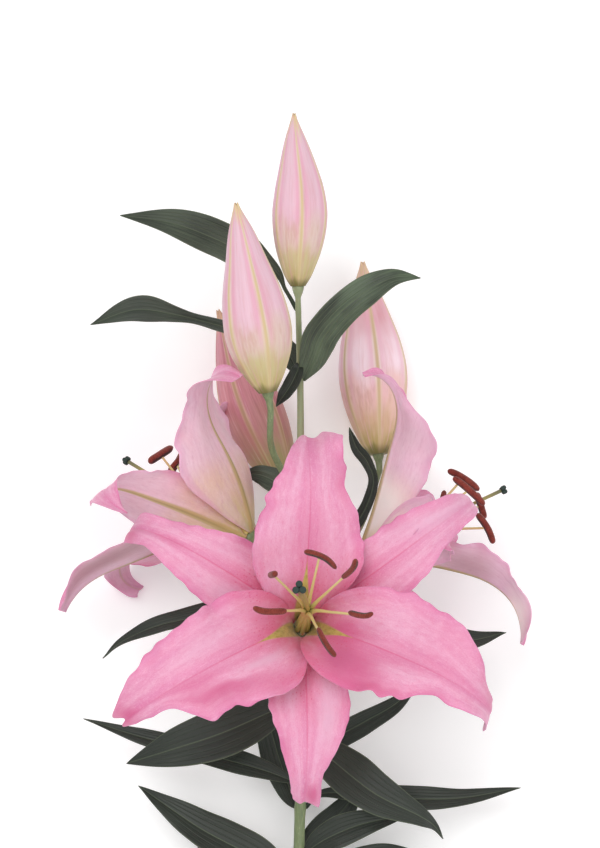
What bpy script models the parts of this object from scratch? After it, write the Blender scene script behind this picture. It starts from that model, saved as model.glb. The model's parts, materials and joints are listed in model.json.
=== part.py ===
"""A cut oriental lily, laid on its back on a table: stem, leaves, four buds and three open blooms.

The plant is drawn in its growing frame, in millimetres: x to its right, y up the stem from the cut end,
z towards the side that faces up once it lies down. The resting pose then leans it back, so that the cut
end, the buds behind the stem and the petals behind the side blooms reach the table, and puts the origin
at the middle of its footprint. Every petal, leaf, bud, stamen crown and pistil is its own solid.
"""

import math
from dataclasses import dataclass

import bpy
import numpy as np

MM = 0.001  # millimetres to Blender's metres

# Driving dimensions, in millimetres and degrees
LEAN = 12.28  # how far the stem rises from the table, cut end to tip
STEM_BASE_RADIUS = 3.8
STEM_TIP_RADIUS = 2.0
STALK_RADIUS = 2.0
RECEPTACLE_RADIUS = 5.0
BUD_SEAT_RADIUS = 3.6
LEAF_THICKNESS = 0.8
TEPAL_THICKNESS = 0.8
SEAT_GAP = 0.4  # clearance between a flower's piece and its stalk
LEAF_ROOT_GAP = 0.95
LEAF_ROOT_HALF_WIDTH = 1.3

STEM_SIDES = 10
BUD_SIDES = 12
PISTIL_SIDES = 9
FILAMENT_SIDES = 5
ANTHER_SIDES = 6
LEAF_STATIONS, LEAF_COLUMNS = 10, 5
TEPAL_STATIONS, TEPAL_COLUMNS = 14, 7

UP = np.array([0.0, 0.0, 1.0])


# ---------------------------------------------------------------- curves and small helpers


def unit(vector):
    """The vector at length one, along the last axis."""
    vector = np.asarray(vector, float)
    return vector / np.linalg.norm(vector, axis=-1, keepdims=True)


def smooth(value):
    """0 below 0, 1 above 1, and an S curve between them."""
    value = np.clip(value, 0.0, 1.0)
    return value * value * (3 - 2 * value)


def curve_through(points, count):
    """count points, evenly spaced along a Catmull-Rom curve through the given points."""
    points = np.asarray(points, float)
    padded = np.vstack([2 * points[0] - points[1], points, 2 * points[-1] - points[-2]])
    step = np.linspace(0, 1, 40, endpoint=False)[:, None]
    runs = []
    for a, b, c, d in zip(padded, padded[1:], padded[2:], padded[3:]):
        cubic = 3 * b - 3 * c + d - a
        runs.append(b + 0.5 * ((c - a) * step + (2 * a - 5 * b + 4 * c - d) * step**2 + cubic * step**3))
    fine = np.vstack([*runs, points[-1:]])
    length = np.concatenate([[0], np.cumsum(np.linalg.norm(np.diff(fine, axis=0), axis=1))])
    wanted = np.linspace(0, length[-1], count)
    return np.column_stack([np.interp(wanted, length, fine[:, k]) for k in range(3)])


def tangents(path):
    """Unit directions along a path of points."""
    return unit(np.gradient(path, axis=0))


def material(name, colour, roughness):
    """A Principled BSDF of one colour."""
    made = bpy.data.materials.new(name)
    made.use_nodes = True
    shader = made.node_tree.nodes["Principled BSDF"]
    shader.inputs["Base Color"].default_value = (*colour, 1)
    shader.inputs["Roughness"].default_value = roughness
    shader.inputs["Metallic"].default_value = 0
    return made


def new_object(name, points, faces, finish, pose):
    """One object from points in millimetres, carried by the resting pose."""
    mesh = bpy.data.meshes.new(name)
    mesh.from_pydata((np.asarray(points) * MM).tolist(), [], faces)
    mesh.materials.append(finish)
    mesh.shade_smooth()
    mesh.set_sharp_from_angle(angle=math.radians(50))
    made = bpy.data.objects.new(name, mesh)
    bpy.context.scene.collection.objects.link(made)
    made.parent = pose
    return made


# ---------------------------------------------------------------- blades and lofted solids


def blade(name, grid, thickness, finish, pose):
    """A thin blade: a grid of points made a triangulated sheet, then given its thickness by Solidify."""
    stations, columns = grid.shape[:2]
    faces = []
    for i in range(stations - 1):
        for j in range(columns - 1):
            a, b = i * columns + j, i * columns + j + 1
            c, d = b + columns, a + columns
            left_half = j < (columns - 1) / 2
            faces += [(a, b, c), (a, c, d)] if left_half else [(a, b, d), (b, c, d)]
    made = new_object(name, grid.reshape(-1, 3), faces, finish, pose)
    thicken = made.modifiers.new("thickness", "SOLIDIFY")
    thicken.thickness = thickness * MM
    thicken.offset = 0
    return made


def rings_along(path, radii, sides, lobes=None):
    """Rings of points round a path. lobes(angle) scales the radius round the ring, one row a station."""
    along = tangents(path)
    first_side = unit(np.cross(along[0], UP if abs(along[0][2]) < 0.9 else (0.0, 1.0, 0.0)))
    angle = np.arange(sides) * 2 * math.pi / sides
    rings = []
    side = first_side
    for k, (centre, forward) in enumerate(zip(path, along)):
        side = unit(side - (side @ forward) * forward)
        over = np.cross(side, forward)
        reach = radii[k] * (lobes(angle, k) if lobes else 1)
        rings.append(centre + (reach * np.cos(angle))[:, None] * side + (reach * np.sin(angle))[:, None] * over)
    return np.array(rings)


def loft(name, rings, finish, pose):
    """A closed solid through rings of points, with a flat cap at each end."""
    count, sides = rings.shape[:2]
    faces = [tuple(range(sides)), tuple(range(count * sides - 1, (count - 1) * sides - 1, -1))]
    for i in range(count - 1):
        for j in range(sides):
            a, b = i * sides + j, i * sides + (j + 1) % sides
            faces.append((b, a, a + sides, b + sides))
    return new_object(name, rings.reshape(-1, 3), faces, finish, pose)


def fuse(name, pieces):
    """The pieces as one body, by one Boolean union on a collection, applied."""
    main, *others = pieces
    group = bpy.data.collections.new(name + "_pieces")
    for piece in others:
        group.objects.link(piece)
    union = main.modifiers.new("union", "BOOLEAN")
    union.operation = "UNION"
    union.operand_type = "COLLECTION"
    union.collection = group
    union.solver = "EXACT"
    graph = bpy.context.evaluated_depsgraph_get()
    joined = bpy.data.meshes.new_from_object(main.evaluated_get(graph))
    main.modifiers.clear()
    main.data = joined
    main.name = name
    for piece in others:
        bpy.data.objects.remove(piece)
    bpy.data.collections.remove(group)
    return main


# ---------------------------------------------------------------- the stem


def stem_radius(height):
    """The stem's radius at a height above the cut end."""
    share = np.clip(np.asarray(height, float) / 450, 0, 1)
    return STEM_BASE_RADIUS + (STEM_TIP_RADIUS - STEM_BASE_RADIUS) * share


STEM_LINE = [(-1.5, 0, 0), (-0.5, 140, 0), (0.8, 190, 0), (0, 300, 0), (0.3, 380, 0), (-0.6, 425, 0), (-1.1, 444.5, 0)]
CUT_SLOPE = 0.8  # the slanting cut's rise over the stem's width


def stem_main():
    """Rings of the main stem: a slanting cut at the foot, flared under the top bud."""
    path = np.vstack([curve_through(STEM_LINE, 15), [(-1.1, 447.5, 0), (-1.1, 450, 0)]])
    radii = stem_radius(path[:, 1])
    radii[-2:] = 2.8, BUD_SEAT_RADIUS
    rings = rings_along(path, radii, STEM_SIDES)
    rings[0, :, 1] += CUT_SLOPE * (rings[0, :, 2] + STEM_BASE_RADIUS)
    return rings


def stalk(line, place, axis, end_radius):
    """Rings of a flower stalk: slim, straight along the flower's axis at its end, and flared where the flower sits."""
    place, axis = np.array(place), unit(axis)
    path = curve_through([*line, place - 9 * axis], 8)
    path = np.vstack([path, place - 4 * axis, place - 1.2 * axis, place])
    radii = STALK_RADIUS * np.linspace(1.15, 1, len(path))
    radii[-3:] = 1.15 * STALK_RADIUS, 0.88 * end_radius, end_radius
    return rings_along(path, radii, STEM_SIDES)


# ---------------------------------------------------------------- leaves


@dataclass(frozen=True)
class Leaf:
    """A leaf: how high up the stem it grows, its midrib's way to its tip, its width, and how its face looks."""

    height: float
    line: tuple
    width: float
    face: tuple = (0.0, 0.3, 1.0)
    tip_face: tuple = (0.0, 0.3, 1.0)
    broadest: float = 0.38
    fold: float = 14.0
    wave: float = 1.0
    phase: float = 0.0


def leaf_root(leaf):
    """The point beside the stem's skin that a leaf grows from, on the side its midrib leaves by."""
    stem_line = np.array(STEM_LINE, float)
    centre = np.array([np.interp(leaf.height, stem_line[:, 1], stem_line[:, 0]), leaf.height, 0.0])
    aside = np.array(leaf.line[0]) - centre
    steepness = abs(unit(aside)[1])
    aside[1] = 0
    return centre + unit(aside) * (stem_radius(leaf.height) + LEAF_ROOT_GAP * (1 + 0.5 * steepness))


def leaf_half_width(leaf, share):
    """Half width along a lance-shaped leaf, from a narrow foot to a drawn-out point."""
    skew = math.log(0.5) / math.log(leaf.broadest)
    body = leaf.width / 2 * np.maximum(np.sin(math.pi * share**skew), 0) ** 0.95
    return np.maximum(body, LEAF_ROOT_HALF_WIDTH * (1 - share) ** 2) + 0.25


def leaf_grid(leaf, stations, columns):
    """Points of the leaf's middle sheet: folded along the midrib, its margins gently waved."""
    path = curve_through([leaf_root(leaf), *leaf.line], stations)
    share = np.linspace(0, 1, stations)
    face = unit(np.outer(1 - share, leaf.face) + np.outer(share, leaf.tip_face))
    along = tangents(path)
    across = unit(np.cross(along, face))
    normal = np.cross(across, along)
    half = leaf_half_width(leaf, share)
    lateral = np.linspace(-1, 1, columns)
    reach = np.outer(half, lateral)
    fold = math.radians(leaf.fold)
    lift = np.abs(reach) * math.sin(fold)
    ripple = np.sin(2 * math.pi * 1.6 * share + leaf.phase)
    lift += leaf.wave * np.outer(ripple * np.sin(math.pi * share), lateral * np.abs(lateral))
    return path[:, None] + reach[..., None] * across[:, None] * math.cos(fold) + lift[..., None] * normal[:, None]


LEAVES = [
    Leaf(438, [(-7.9, 449, -9), (-15, 461, -14), (-39, 474, -14), (-69, 485, -8), (-99, 490, -2)], 24),
    Leaf(402, [(-6.3, 413, -10), (-21, 423, -19), (-43, 429, -18), (-67, 436, -9), (-91, 438, -5), (-116, 430, -10)], 16, broadest=0.6, wave=2.5),
    Leaf(399, [(7, 410, 4), (14, 424, 9), (30, 440, 16), (49, 452, 18), (66, 455, 12)], 22, (0.3, -0.2, 1), (0.2, 0.5, 0.8), broadest=0.45, wave=2),
    Leaf(397, [(-5, 393, 5), (-9, 388, 7), (-13.5, 381, 6)], 11, (0.2, 0.6, 0.8), (0.2, 0.6, 0.8)),
    Leaf(337, [(-13, 343, -9), (-23, 347, -13), (-34, 347, -15)], 15),
    Leaf(300, [(20, 309, -9), (34, 325, -14), (37, 345, -17), (34, 362, -19), (28, 373, -22)], 10, (-0.5, 0.2, 0.9), (-0.5, 0, 0.9)),
    Leaf(281, [(-24, 278, 8), (-49, 271, 12), (-76, 265, 8), (-97, 257, 2), (-109, 246, -4)], 19, (0, 0.5, 0.8), (-0.1, 0.7, 0.7)),
    Leaf(256, [(27, 261, 6), (60, 262, 6), (91, 256, 0), (114, 260, -8)], 27, (0, 0.3, 1), (0, 0.5, 0.9)),
    Leaf(224, [(-16, 218, 14), (-43, 206, 24), (-70, 195, 22), (-95, 189, 12)], 29, (0.2, 0.3, 0.9), (0, 0.3, 1), broadest=0.5, fold=10),
    Leaf(178, [(-21, 185, 2), (-55, 194, -2), (-91, 203, -8), (-120, 212, -13)], 15, (0, 0.5, 0.9), (0, 0.6, 0.8)),
    Leaf(124, [(-22, 136, 6), (-52, 152, 8), (-74, 166, 4), (-89, 176, -2)], 25, (0.2, 0.4, 0.9), (0.2, 0.4, 0.9)),
    Leaf(163, [(-6, 174, -12), (-13, 194, -17), (-18, 216, -16), (-18, 240, -14)], 19, (-0.3, -0.1, 1), (-0.2, -0.2, 1)),
    Leaf(184, [(12, 198, -12), (34, 214, -10), (52, 226, -3), (68, 240, 0)], 21, (0.2, -0.2, 1), (0.2, 0, 1)),
    Leaf(203, [(16, 193, 16), (40, 175, 26), (64, 163, 22), (77, 150, 12)], 26, (0.1, 0.3, 1), (0.3, 0.3, 0.9), fold=10),
    Leaf(164, [(11, 171, -3), (28, 173, -6), (55, 171, -6), (88, 170, -6), (122, 174, -10)], 16, (0, 0.4, 0.9), (0, 0.5, 0.9), broadest=0.45),
    Leaf(139, [(15, 148, 7), (34, 156, 9), (60, 161, 7)], 18, (-0.1, 0.4, 0.9), (0, 0.3, 1)),
    Leaf(134, [(10, 146, -13), (22, 159, -15), (36, 176, -15)], 20, (0.3, 0, 1), (0.2, 0, 1)),
    Leaf(120, [(24, 129, -5), (50, 136, -9), (78, 132, -15)], 18, (0, 0.3, 1), (0.2, 0.4, 0.9)),
    Leaf(114, [(-21, 130, -5), (-42, 138, -9), (-64, 137, -14)], 19, (0, 0.3, 1), (-0.2, 0.4, 0.9)),
    Leaf(100, [(-20, 106, 6), (-44, 112, 4), (-70, 107, -3)], 17, (0, 0.2, 1), (0, 0.4, 0.9)),
]


# ---------------------------------------------------------------- buds


@dataclass(frozen=True)
class Bud:
    """A closed bud: its foot on its stalk, its tip, its greatest radius and its sideways bow."""

    name: str
    foot: tuple
    tip: tuple
    radius: float
    bow: tuple = (0.0, 0.0, 0.0)
    turn: float = 0.0


def bud_outline(share):
    """A bud's radius from foot to tip, at most 1: fullest a third of the way up, drawn out to the tip."""
    return np.maximum(np.sin(math.pi * share**0.68) ** 0.75, 0.07 + 0.2 * (1 - share) ** 6)


def bud_rings(bud, stations, sides):
    """Rings of a bud, a rounded six-sided section with a rib down each petal's back."""
    foot, tip = np.array(bud.foot, float), np.array(bud.tip, float)
    foot = foot + unit(tip - foot) * SEAT_GAP
    share = 0.5 - 0.5 * np.cos(np.linspace(0, 1, stations) * math.pi)
    path = foot + np.outer(share, tip - foot) + np.outer(np.sin(math.pi * share) ** 2, bud.bow)
    turn = math.radians(bud.turn)

    def ribs(angle, station):
        fullness = np.sin(math.pi * share[station])
        return 1 + fullness * (0.035 * np.cos(3 * (angle - turn)) + 0.035 * np.cos(6 * (angle - turn)))

    return rings_along(path, bud.radius * bud_outline(share), sides, ribs)


BUDS = [
    Bud("bud_top", (-1.1, 450.4, 0), (-3.3, 545, 2), 14.9, (0.8, 0, 0)),
    Bud("bud_front", (-17.3, 391.7, 35), (-34.4, 493, 42), 18.0, (2.5, 0, 0)),
    Bud("bud_behind", (-7.9, 337.5, -58), (-46.9, 440, -82), 18.6, (-1, 0, 0)),
    Bud("bud_right", (44.6, 357.4, -64.5), (36, 467.5, -81.5), 19.2, (2.5, 0, 0)),
]


# ---------------------------------------------------------------- blooms


@dataclass(frozen=True)
class Tepal:
    """A petal or sepal, by its place round the flower and how it opens. Angles in degrees."""

    azimuth: float
    length: float = 128.0
    width: float = 57.0
    root_flare: float = 16.0
    flare: float = 74.0
    recurve: float = 68.0
    curl_from: float = 0.42
    broadest: float = 0.46
    taper: float = 1.0
    twist: float = 0.0
    sway: float = 0.0
    ruffle: float = 3.0
    phase: float = 0.0
    inner: bool = True


@dataclass(frozen=True)
class Bloom:
    """An open flower: its receptacle's place, the way it looks, its petals, stamens and style."""

    name: str
    place: tuple
    looks: tuple
    tepals: tuple
    stamens: tuple
    style_tip: tuple


INNER_ROOT_RADIUS, OUTER_ROOT_RADIUS = 4.2, 5.2
ROOT_HALF_WIDTH = 2.1
PETAL_SHARE = 0.98  # of the sixth of a turn that a petal may fill near the throat


def bloom_axes(bloom):
    """(right, up, out) of a flower: out is the way it looks, up the part of the stem's direction across it."""
    out = unit(bloom.looks)
    up = unit(np.array([0.0, 1.0, 0.0]) - out[1] * out)
    return np.cross(up, out), up, out


def tepal_midrib(tepal, stations):
    """(radius from the axis, height up it, slope) along the midrib, where the slope is the angle to the axis."""
    fine = np.linspace(0, 1, 241)
    opening = smooth(fine / (0.5 if tepal.inner else 0.44))
    curl = np.clip((fine - tepal.curl_from) / (1 - tepal.curl_from), 0, 1) ** 1.4
    slope = np.radians(tepal.root_flare + (tepal.flare - tepal.root_flare) * opening + tepal.recurve * curl)
    step = tepal.length / (len(fine) - 1)
    root = INNER_ROOT_RADIUS if tepal.inner else OUTER_ROOT_RADIUS
    radius = root + np.concatenate([[0], np.cumsum((np.sin(slope[1:]) + np.sin(slope[:-1])) / 2)]) * step
    height = SEAT_GAP + np.concatenate([[0], np.cumsum((np.cos(slope[1:]) + np.cos(slope[:-1])) / 2)]) * step
    share = np.linspace(0, 1, stations)
    return [np.interp(share, fine, values) for values in (radius, height, slope)]


def tepal_half_width(tepal, share, radius):
    """Half width along a petal: a narrow claw, broadest midway, a short point at the tip."""
    skew = math.log(0.5) / math.log(tepal.broadest)
    body = tepal.width / 2 * np.maximum(np.sin(math.pi * share**skew), 0) ** tepal.taper
    claw = ROOT_HALF_WIDTH * (1 - share) ** 3
    limit = PETAL_SHARE * math.pi / 3 * radius
    return np.minimum(np.maximum(body, claw), limit) + 0.9 * share**6


def tepal_grid(bloom, tepal, stations, columns):
    """Points of a petal's middle sheet: a trough in the throat, opening out, its margins ruffled."""
    right, up, out = bloom_axes(bloom)
    turn = math.radians(tepal.azimuth)
    outward = right * math.cos(turn) + up * math.sin(turn)
    around = up * math.cos(turn) - right * math.sin(turn)
    share = np.linspace(0, 1, stations)
    radius, height, slope = tepal_midrib(tepal, stations)
    half = tepal_half_width(tepal, share, radius)
    sway = tepal.sway * share**3
    spine = np.array(bloom.place) + np.outer(radius, outward) + np.outer(height, out) + np.outer(sway, around)
    normal = np.outer(np.sin(slope), out) - np.outer(np.cos(slope), outward)
    roll = np.radians(tepal.twist) * smooth((share - 0.2) / 0.8)[:, None]
    across = around * np.cos(roll) + normal * np.sin(roll)
    facing = normal * np.cos(roll) - around * np.sin(roll)

    lateral = np.linspace(-1, 1, columns)
    reach = np.outer(half, lateral)
    bend = (np.maximum(np.cos(slope), 0) / radius * (1 - smooth(share / 0.7)) + 0.004)[:, None]
    sideways = np.sin(bend * reach) / bend
    lift = (1 - np.cos(bend * reach)) / bend
    strength = tepal.ruffle * smooth((share - 0.22) / 0.35) * (1 - 0.35 * share**4)
    waves = np.where(
        lateral[None] > 0,
        np.sin(2 * math.pi * 2.6 * share + tepal.phase)[:, None],
        np.sin(2 * math.pi * 2.9 * share + tepal.phase + 2.1)[:, None],
    )
    lift = lift + strength[:, None] * waves * np.abs(lateral) ** 2.5
    return spine[:, None] + sideways[..., None] * across[:, None] + lift[..., None] * facing[:, None]


@dataclass(frozen=True)
class Stamen:
    """A filament's azimuth on the crown, its end (right, up, out from the foot), and how its anther lies."""

    azimuth: float
    end: tuple
    anther: tuple
    anther_length: float = 19.0


CROWN_INNER_RADIUS, CROWN_OUTER_RADIUS = 2.6, 3.4
CROWN_FOOT, CROWN_TOP = SEAT_GAP, 3.0
FILAMENT_RADIUS = 0.9
ANTHER_RADIUS = 1.8


def crown(bloom, finish, pose):
    """The ring round the ovary that the six filaments grow from."""
    right, up, out = bloom_axes(bloom)
    sides = 12
    angle = np.arange(sides) * 2 * math.pi / sides
    spokes = np.outer(np.cos(angle), right) + np.outer(np.sin(angle), up)
    profile = [
        (CROWN_INNER_RADIUS, CROWN_FOOT),
        (CROWN_OUTER_RADIUS, CROWN_FOOT),
        (CROWN_OUTER_RADIUS, CROWN_TOP),
        (CROWN_INNER_RADIUS, CROWN_TOP),
    ]
    rings = [np.array(bloom.place) + spokes * radius + out * height for radius, height in profile]
    faces = []
    for i in range(len(profile)):
        for j in range(sides):
            here, there = i * sides, (i + 1) % len(profile) * sides
            after = (j + 1) % sides
            faces.append((here + j, here + after, there + after, there + j))
    return new_object(bloom.name + "_crown", np.concatenate(rings), faces, finish, pose)


def filament_line(bloom, stamen):
    """A filament's points: up from the crown beside the style, then leaning away."""
    right, up, out = bloom_axes(bloom)
    turn = math.radians(stamen.azimuth)
    root_radius = (CROWN_INNER_RADIUS + CROWN_OUTER_RADIUS) / 2
    root = np.array([root_radius * math.cos(turn), root_radius * math.sin(turn), CROWN_FOOT + 1.2])
    share = np.linspace(0, 1, 7)
    lean = 0.25 * share + 0.75 * share**1.8
    local = root + np.outer(lean, [1, 1, 0]) * (np.array(stamen.end) - root)
    local[:, 2] = root[2] + share * (stamen.end[2] - root[2])
    return np.array(bloom.place) + local @ np.array([right, up, out])


def anther_line(bloom, stamen):
    """An anther's points: a slightly arched bar, balanced across its filament's end."""
    centre = filament_line(bloom, stamen)[-1]
    out = bloom_axes(bloom)[2]
    along = unit(stamen.anther)
    share = np.linspace(-0.5, 0.5, 6)
    arch = 0.12 * stamen.anther_length * (0.5 - 2 * share**2)
    return centre + np.outer(share * stamen.anther_length, along) + np.outer(arch, out)


def stamens(bloom, finish, pose):
    """The crown, its filaments and their anthers, as one body."""
    pieces = [crown(bloom, finish, pose)]
    for k, stamen in enumerate(bloom.stamens):
        line = filament_line(bloom, stamen)
        radii = FILAMENT_RADIUS * np.linspace(1, 0.75, len(line))
        pieces.append(loft(f"{bloom.name}_filament_{k}", rings_along(line, radii, FILAMENT_SIDES), finish, pose))
        bar = anther_line(bloom, stamen)
        fullness = ANTHER_RADIUS * np.array([0.55, 1, 1, 1, 1, 0.55])
        pieces.append(loft(f"{bloom.name}_anther_{k}", rings_along(bar, fullness, ANTHER_SIDES), finish, pose))
    return fuse(bloom.name + "_stamens", pieces)


OVARY_RADIUS, OVARY_LENGTH = 2.1, 20.0
STYLE_RADIUS = 1.4
STIGMA_RADIUS, STIGMA_HEIGHT = 3.6, 4.0


def pistil(bloom, finish, pose):
    """Ovary, style and three-lobed stigma, as one turned body along a slightly bent line."""
    right, up, out = bloom_axes(bloom)
    foot = np.array(bloom.place) + out * SEAT_GAP
    tip = np.array(bloom.place) + right * bloom.style_tip[0] + up * bloom.style_tip[1] + out * bloom.style_tip[2]
    bend = foot + out * bloom.style_tip[2] * 0.5 + 0.25 * (tip - foot - out * bloom.style_tip[2])
    fine = curve_through([foot, bend, tip], 101)
    length = bloom.style_tip[2]
    stations = [
        (0.0, OVARY_RADIUS * 0.9),
        (0.4 * OVARY_LENGTH, OVARY_RADIUS),
        (0.9 * OVARY_LENGTH, OVARY_RADIUS),
        (1.15 * OVARY_LENGTH, STYLE_RADIUS),
        (0.6 * length, STYLE_RADIUS),
        (length - 2.2 * STIGMA_HEIGHT, STYLE_RADIUS * 1.1),
        (length - STIGMA_HEIGHT, STIGMA_RADIUS * 0.72),
        (length - 0.4 * STIGMA_HEIGHT, STIGMA_RADIUS),
        (length, STIGMA_RADIUS * 0.62),
    ]
    path = np.array([[np.interp(at / length, np.linspace(0, 1, 101), fine[:, k]) for k in range(3)] for at, _ in stations])
    radii = [radius for _, radius in stations]

    def lobes(angle, station):
        return 1 + (0.22 if station >= len(stations) - 3 else 0) * np.cos(3 * angle)

    return loft(bloom.name + "_pistil", rings_along(path, radii, PISTIL_SIDES, lobes), finish, pose)


FRONT = Bloom(
    "front",
    (1.1, 265.7, 46),
    (0.035, 0.20, 0.98),
    (
        Tepal(92, 124, 60, root_flare=8, flare=71, recurve=79, curl_from=0.49, broadest=0.4, taper=1.08, twist=-3, sway=-8, phase=0.4),
        Tepal(209, 134, 59, root_flare=11, flare=65, recurve=70, curl_from=0.47, broadest=0.43, twist=-5, sway=2, phase=1.2),
        Tepal(336, 148, 55, root_flare=12, flare=68, recurve=120, curl_from=0.55, broadest=0.39, taper=1.2, twist=-8, sway=-8, phase=2.6),
        Tepal(33, 135, 39, root_flare=23, flare=80, recurve=78, curl_from=0.57, broadest=0.45, taper=0.85, twist=2, sway=6, phase=0.9, inner=False),
        Tepal(147, 130, 41, root_flare=24, flare=81, recurve=90, curl_from=0.55, broadest=0.4, taper=1.1, twist=-3, sway=3, phase=2, inner=False),
        Tepal(272, 113, 42, root_flare=25, flare=76, recurve=84, curl_from=0.39, broadest=0.42, twist=-4, sway=-9, phase=3, inner=False),
    ),
    (
        Stamen(90, (6.7, 27.5, 72), (1, -0.35, 0), 19),
        Stamen(30, (23, 19.8, 72), (0.6, 0.7, 0.8), 17),
        Stamen(-30, (27.8, -3.3, 70), (1, -0.2, 0.6), 16),
        Stamen(-90, (9.3, -17.7, 70), (0.5, -0.8, 0.2), 19),
        Stamen(-150, (-19, -1.3, 70), (-1, 0.1, 0.1), 19),
        Stamen(150, (-17.5, 17.7, 72), (0.2, 0.1, 1), 18),
    ),
    (-4.5, 9.2, 84),
)

LEFT = Bloom(
    "left",
    (-27, 312.5, 16),
    (-0.780, 0.502, -0.374),
    (
        Tepal(73, 115, 64, root_flare=54, flare=34, recurve=145, curl_from=0.46, broadest=0.45, taper=0.9, twist=18, sway=-8, phase=1.1),
        Tepal(287, 120, 56, root_flare=11, flare=57, recurve=47, curl_from=0.7, broadest=0.48, taper=0.7, twist=1, ruffle=3.1, phase=1.4),
        Tepal(181, 108, 43, root_flare=20, flare=37, recurve=59, curl_from=0.7, ruffle=2, phase=0.3),
        Tepal(-1, 120, 37, root_flare=27, flare=44, recurve=165, curl_from=0.52, taper=0.95, twist=-39, sway=-2, ruffle=3.1, phase=1.2, inner=False),
        Tepal(148, 110, 32, root_flare=38, flare=35, recurve=47, curl_from=0.74, ruffle=1.4, phase=2.8, inner=False),
        Tepal(241, 115, 39, root_flare=37, flare=48, recurve=135, curl_from=0.7, taper=0.8, twist=2, ruffle=2.1, phase=4.4, inner=False),
    ),
    (
        Stamen(44, (15.3, 14.7, 66), (0.83, 0.56, 0.3)),
        Stamen(104, (4, 17, 64), (0.5, 0.6, -0.5)),
        Stamen(164, (-14, 8, 66), (0.4, 0.8, 0.3)),
        Stamen(224, (-14, -9, 66), (0.5, -0.7, 0.4)),
        Stamen(284, (2, -15, 64), (0.3, -0.9, 0.2)),
        Stamen(344, (15, -6, 66), (-0.2, -0.9, -0.3)),
    ),
    (-1, 1, 84),
)

RIGHT = Bloom(
    "right",
    (34.2, 304.1, 16),
    (0.872, 0.373, -0.317),
    (
        Tepal(102, 115, 66, root_flare=45, flare=58, recurve=108, curl_from=0.53, broadest=0.45, taper=1.05, twist=-7, sway=4, phase=0.6),
        Tepal(245, 110, 60, root_flare=24, flare=40, recurve=92, curl_from=0.5, broadest=0.47, taper=0.9, sway=-2, phase=1.9),
        Tepal(348, 102, 48, root_flare=8, flare=41, recurve=60, curl_from=0.7, ruffle=2, phase=2.9),
        Tepal(24, 105, 33, root_flare=29, flare=42, recurve=80, curl_from=0.72, twist=1, ruffle=1.4, phase=4.3, inner=False),
        Tepal(174, 87, 39, root_flare=51, flare=51, recurve=185, curl_from=0.42, ruffle=1.5, phase=0.2, inner=False),
        Tepal(299, 108, 39, root_flare=49, flare=62, recurve=60, curl_from=0.6, phase=2.3, inner=False),
    ),
    (
        Stamen(100, (-15, 18, 64), (0.8, -0.45, 0.1)),
        Stamen(160, (-11, 10, 64), (0.62, -0.78, 0.1)),
        Stamen(220, (-24, -11, 66), (0.4, -0.9, 0.2), 18),
        Stamen(280, (-6, -1, 72), (0.3, -0.95, 0), 14),
        Stamen(340, (12, -6, 60), (-0.2, -0.9, -0.3)),
        Stamen(40, (8, 6, 56), (0.2, 0.8, -0.5)),
    ),
    (1, 3, 85),
)

BLOOMS = [FRONT, LEFT, RIGHT]

STALK_LINES = {
    "front": [(0, 205, 0), (0.3, 226, 12), (0.6, 246, 26)],
    "left": [(0, 256, 0), (-5, 280, 11), (-12, 300, 19)],
    "right": [(0, 250, 0), (8, 276, 12), (18, 292, 19)],
    "bud_front": [(-0.6, 330, 0), (-6, 345.5, 13), (-12, 358, 22)],
    "bud_behind": [(0, 282, 0), (-1.5, 298, -20), (-4, 316, -42)],
    "bud_right": [(0, 276, 0), (16, 292, -16), (34, 318, -40)],
}


# ---------------------------------------------------------------- the whole plant


def clear_scene():
    """Removes every object of the scene."""
    for old in list(bpy.data.objects):
        bpy.data.objects.remove(old)


def add_stem(finish, pose):
    """The main stem and its six flower stalks, as one body."""
    seats = {bloom.name: (bloom.place, bloom.looks, RECEPTACLE_RADIUS) for bloom in BLOOMS}
    seats |= {bud.name: (bud.foot, np.subtract(bud.tip, bud.foot), BUD_SEAT_RADIUS) for bud in BUDS}
    pieces = [loft("main_stem", stem_main(), finish, pose)]
    for name, line in STALK_LINES.items():
        pieces.append(loft(name + "_stalk", stalk(line, *seats[name]), finish, pose))
    return fuse("stem", pieces)


def add_leaves(finish, pose):
    """Every leaf, numbered from the top of the stem down."""
    for number, leaf in enumerate(LEAVES, 1):
        blade(f"leaf_{number:02d}", leaf_grid(leaf, LEAF_STATIONS, LEAF_COLUMNS), LEAF_THICKNESS, finish, pose)


def add_buds(finish, pose):
    """The four closed buds."""
    for bud in BUDS:
        loft(bud.name, bud_rings(bud, 12, BUD_SIDES), finish, pose)


def add_bloom(bloom, finishes, pose):
    """One open flower: three petals, three sepals, the stamens and the pistil."""
    counts = {"petal": 0, "sepal": 0}
    for tepal in bloom.tepals:
        kind = "petal" if tepal.inner else "sepal"
        counts[kind] += 1
        grid = tepal_grid(bloom, tepal, TEPAL_STATIONS, TEPAL_COLUMNS)
        blade(f"{bloom.name}_{kind}_{counts[kind]}", grid, TEPAL_THICKNESS, finishes["petal"], pose)
    stamens(bloom, finishes["stamen"], pose)
    pistil(bloom, finishes["pistil"], pose)


def lay_down(pose):
    """Leans the plant back and puts the origin under the middle of its box, at table height."""
    pose.rotation_euler = (math.radians(LEAN), 0, 0)
    bpy.context.view_layer.update()
    graph = bpy.context.evaluated_depsgraph_get()
    corners = []
    for piece in pose.children:
        shown = piece.evaluated_get(graph)
        corners += [(shown.matrix_world @ vertex.co)[:] for vertex in shown.to_mesh().vertices]
    low, high = np.min(corners, axis=0), np.max(corners, axis=0)
    middle = (low + high) / 2
    pose.location = (-middle[0], -middle[1], -low[2])


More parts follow.
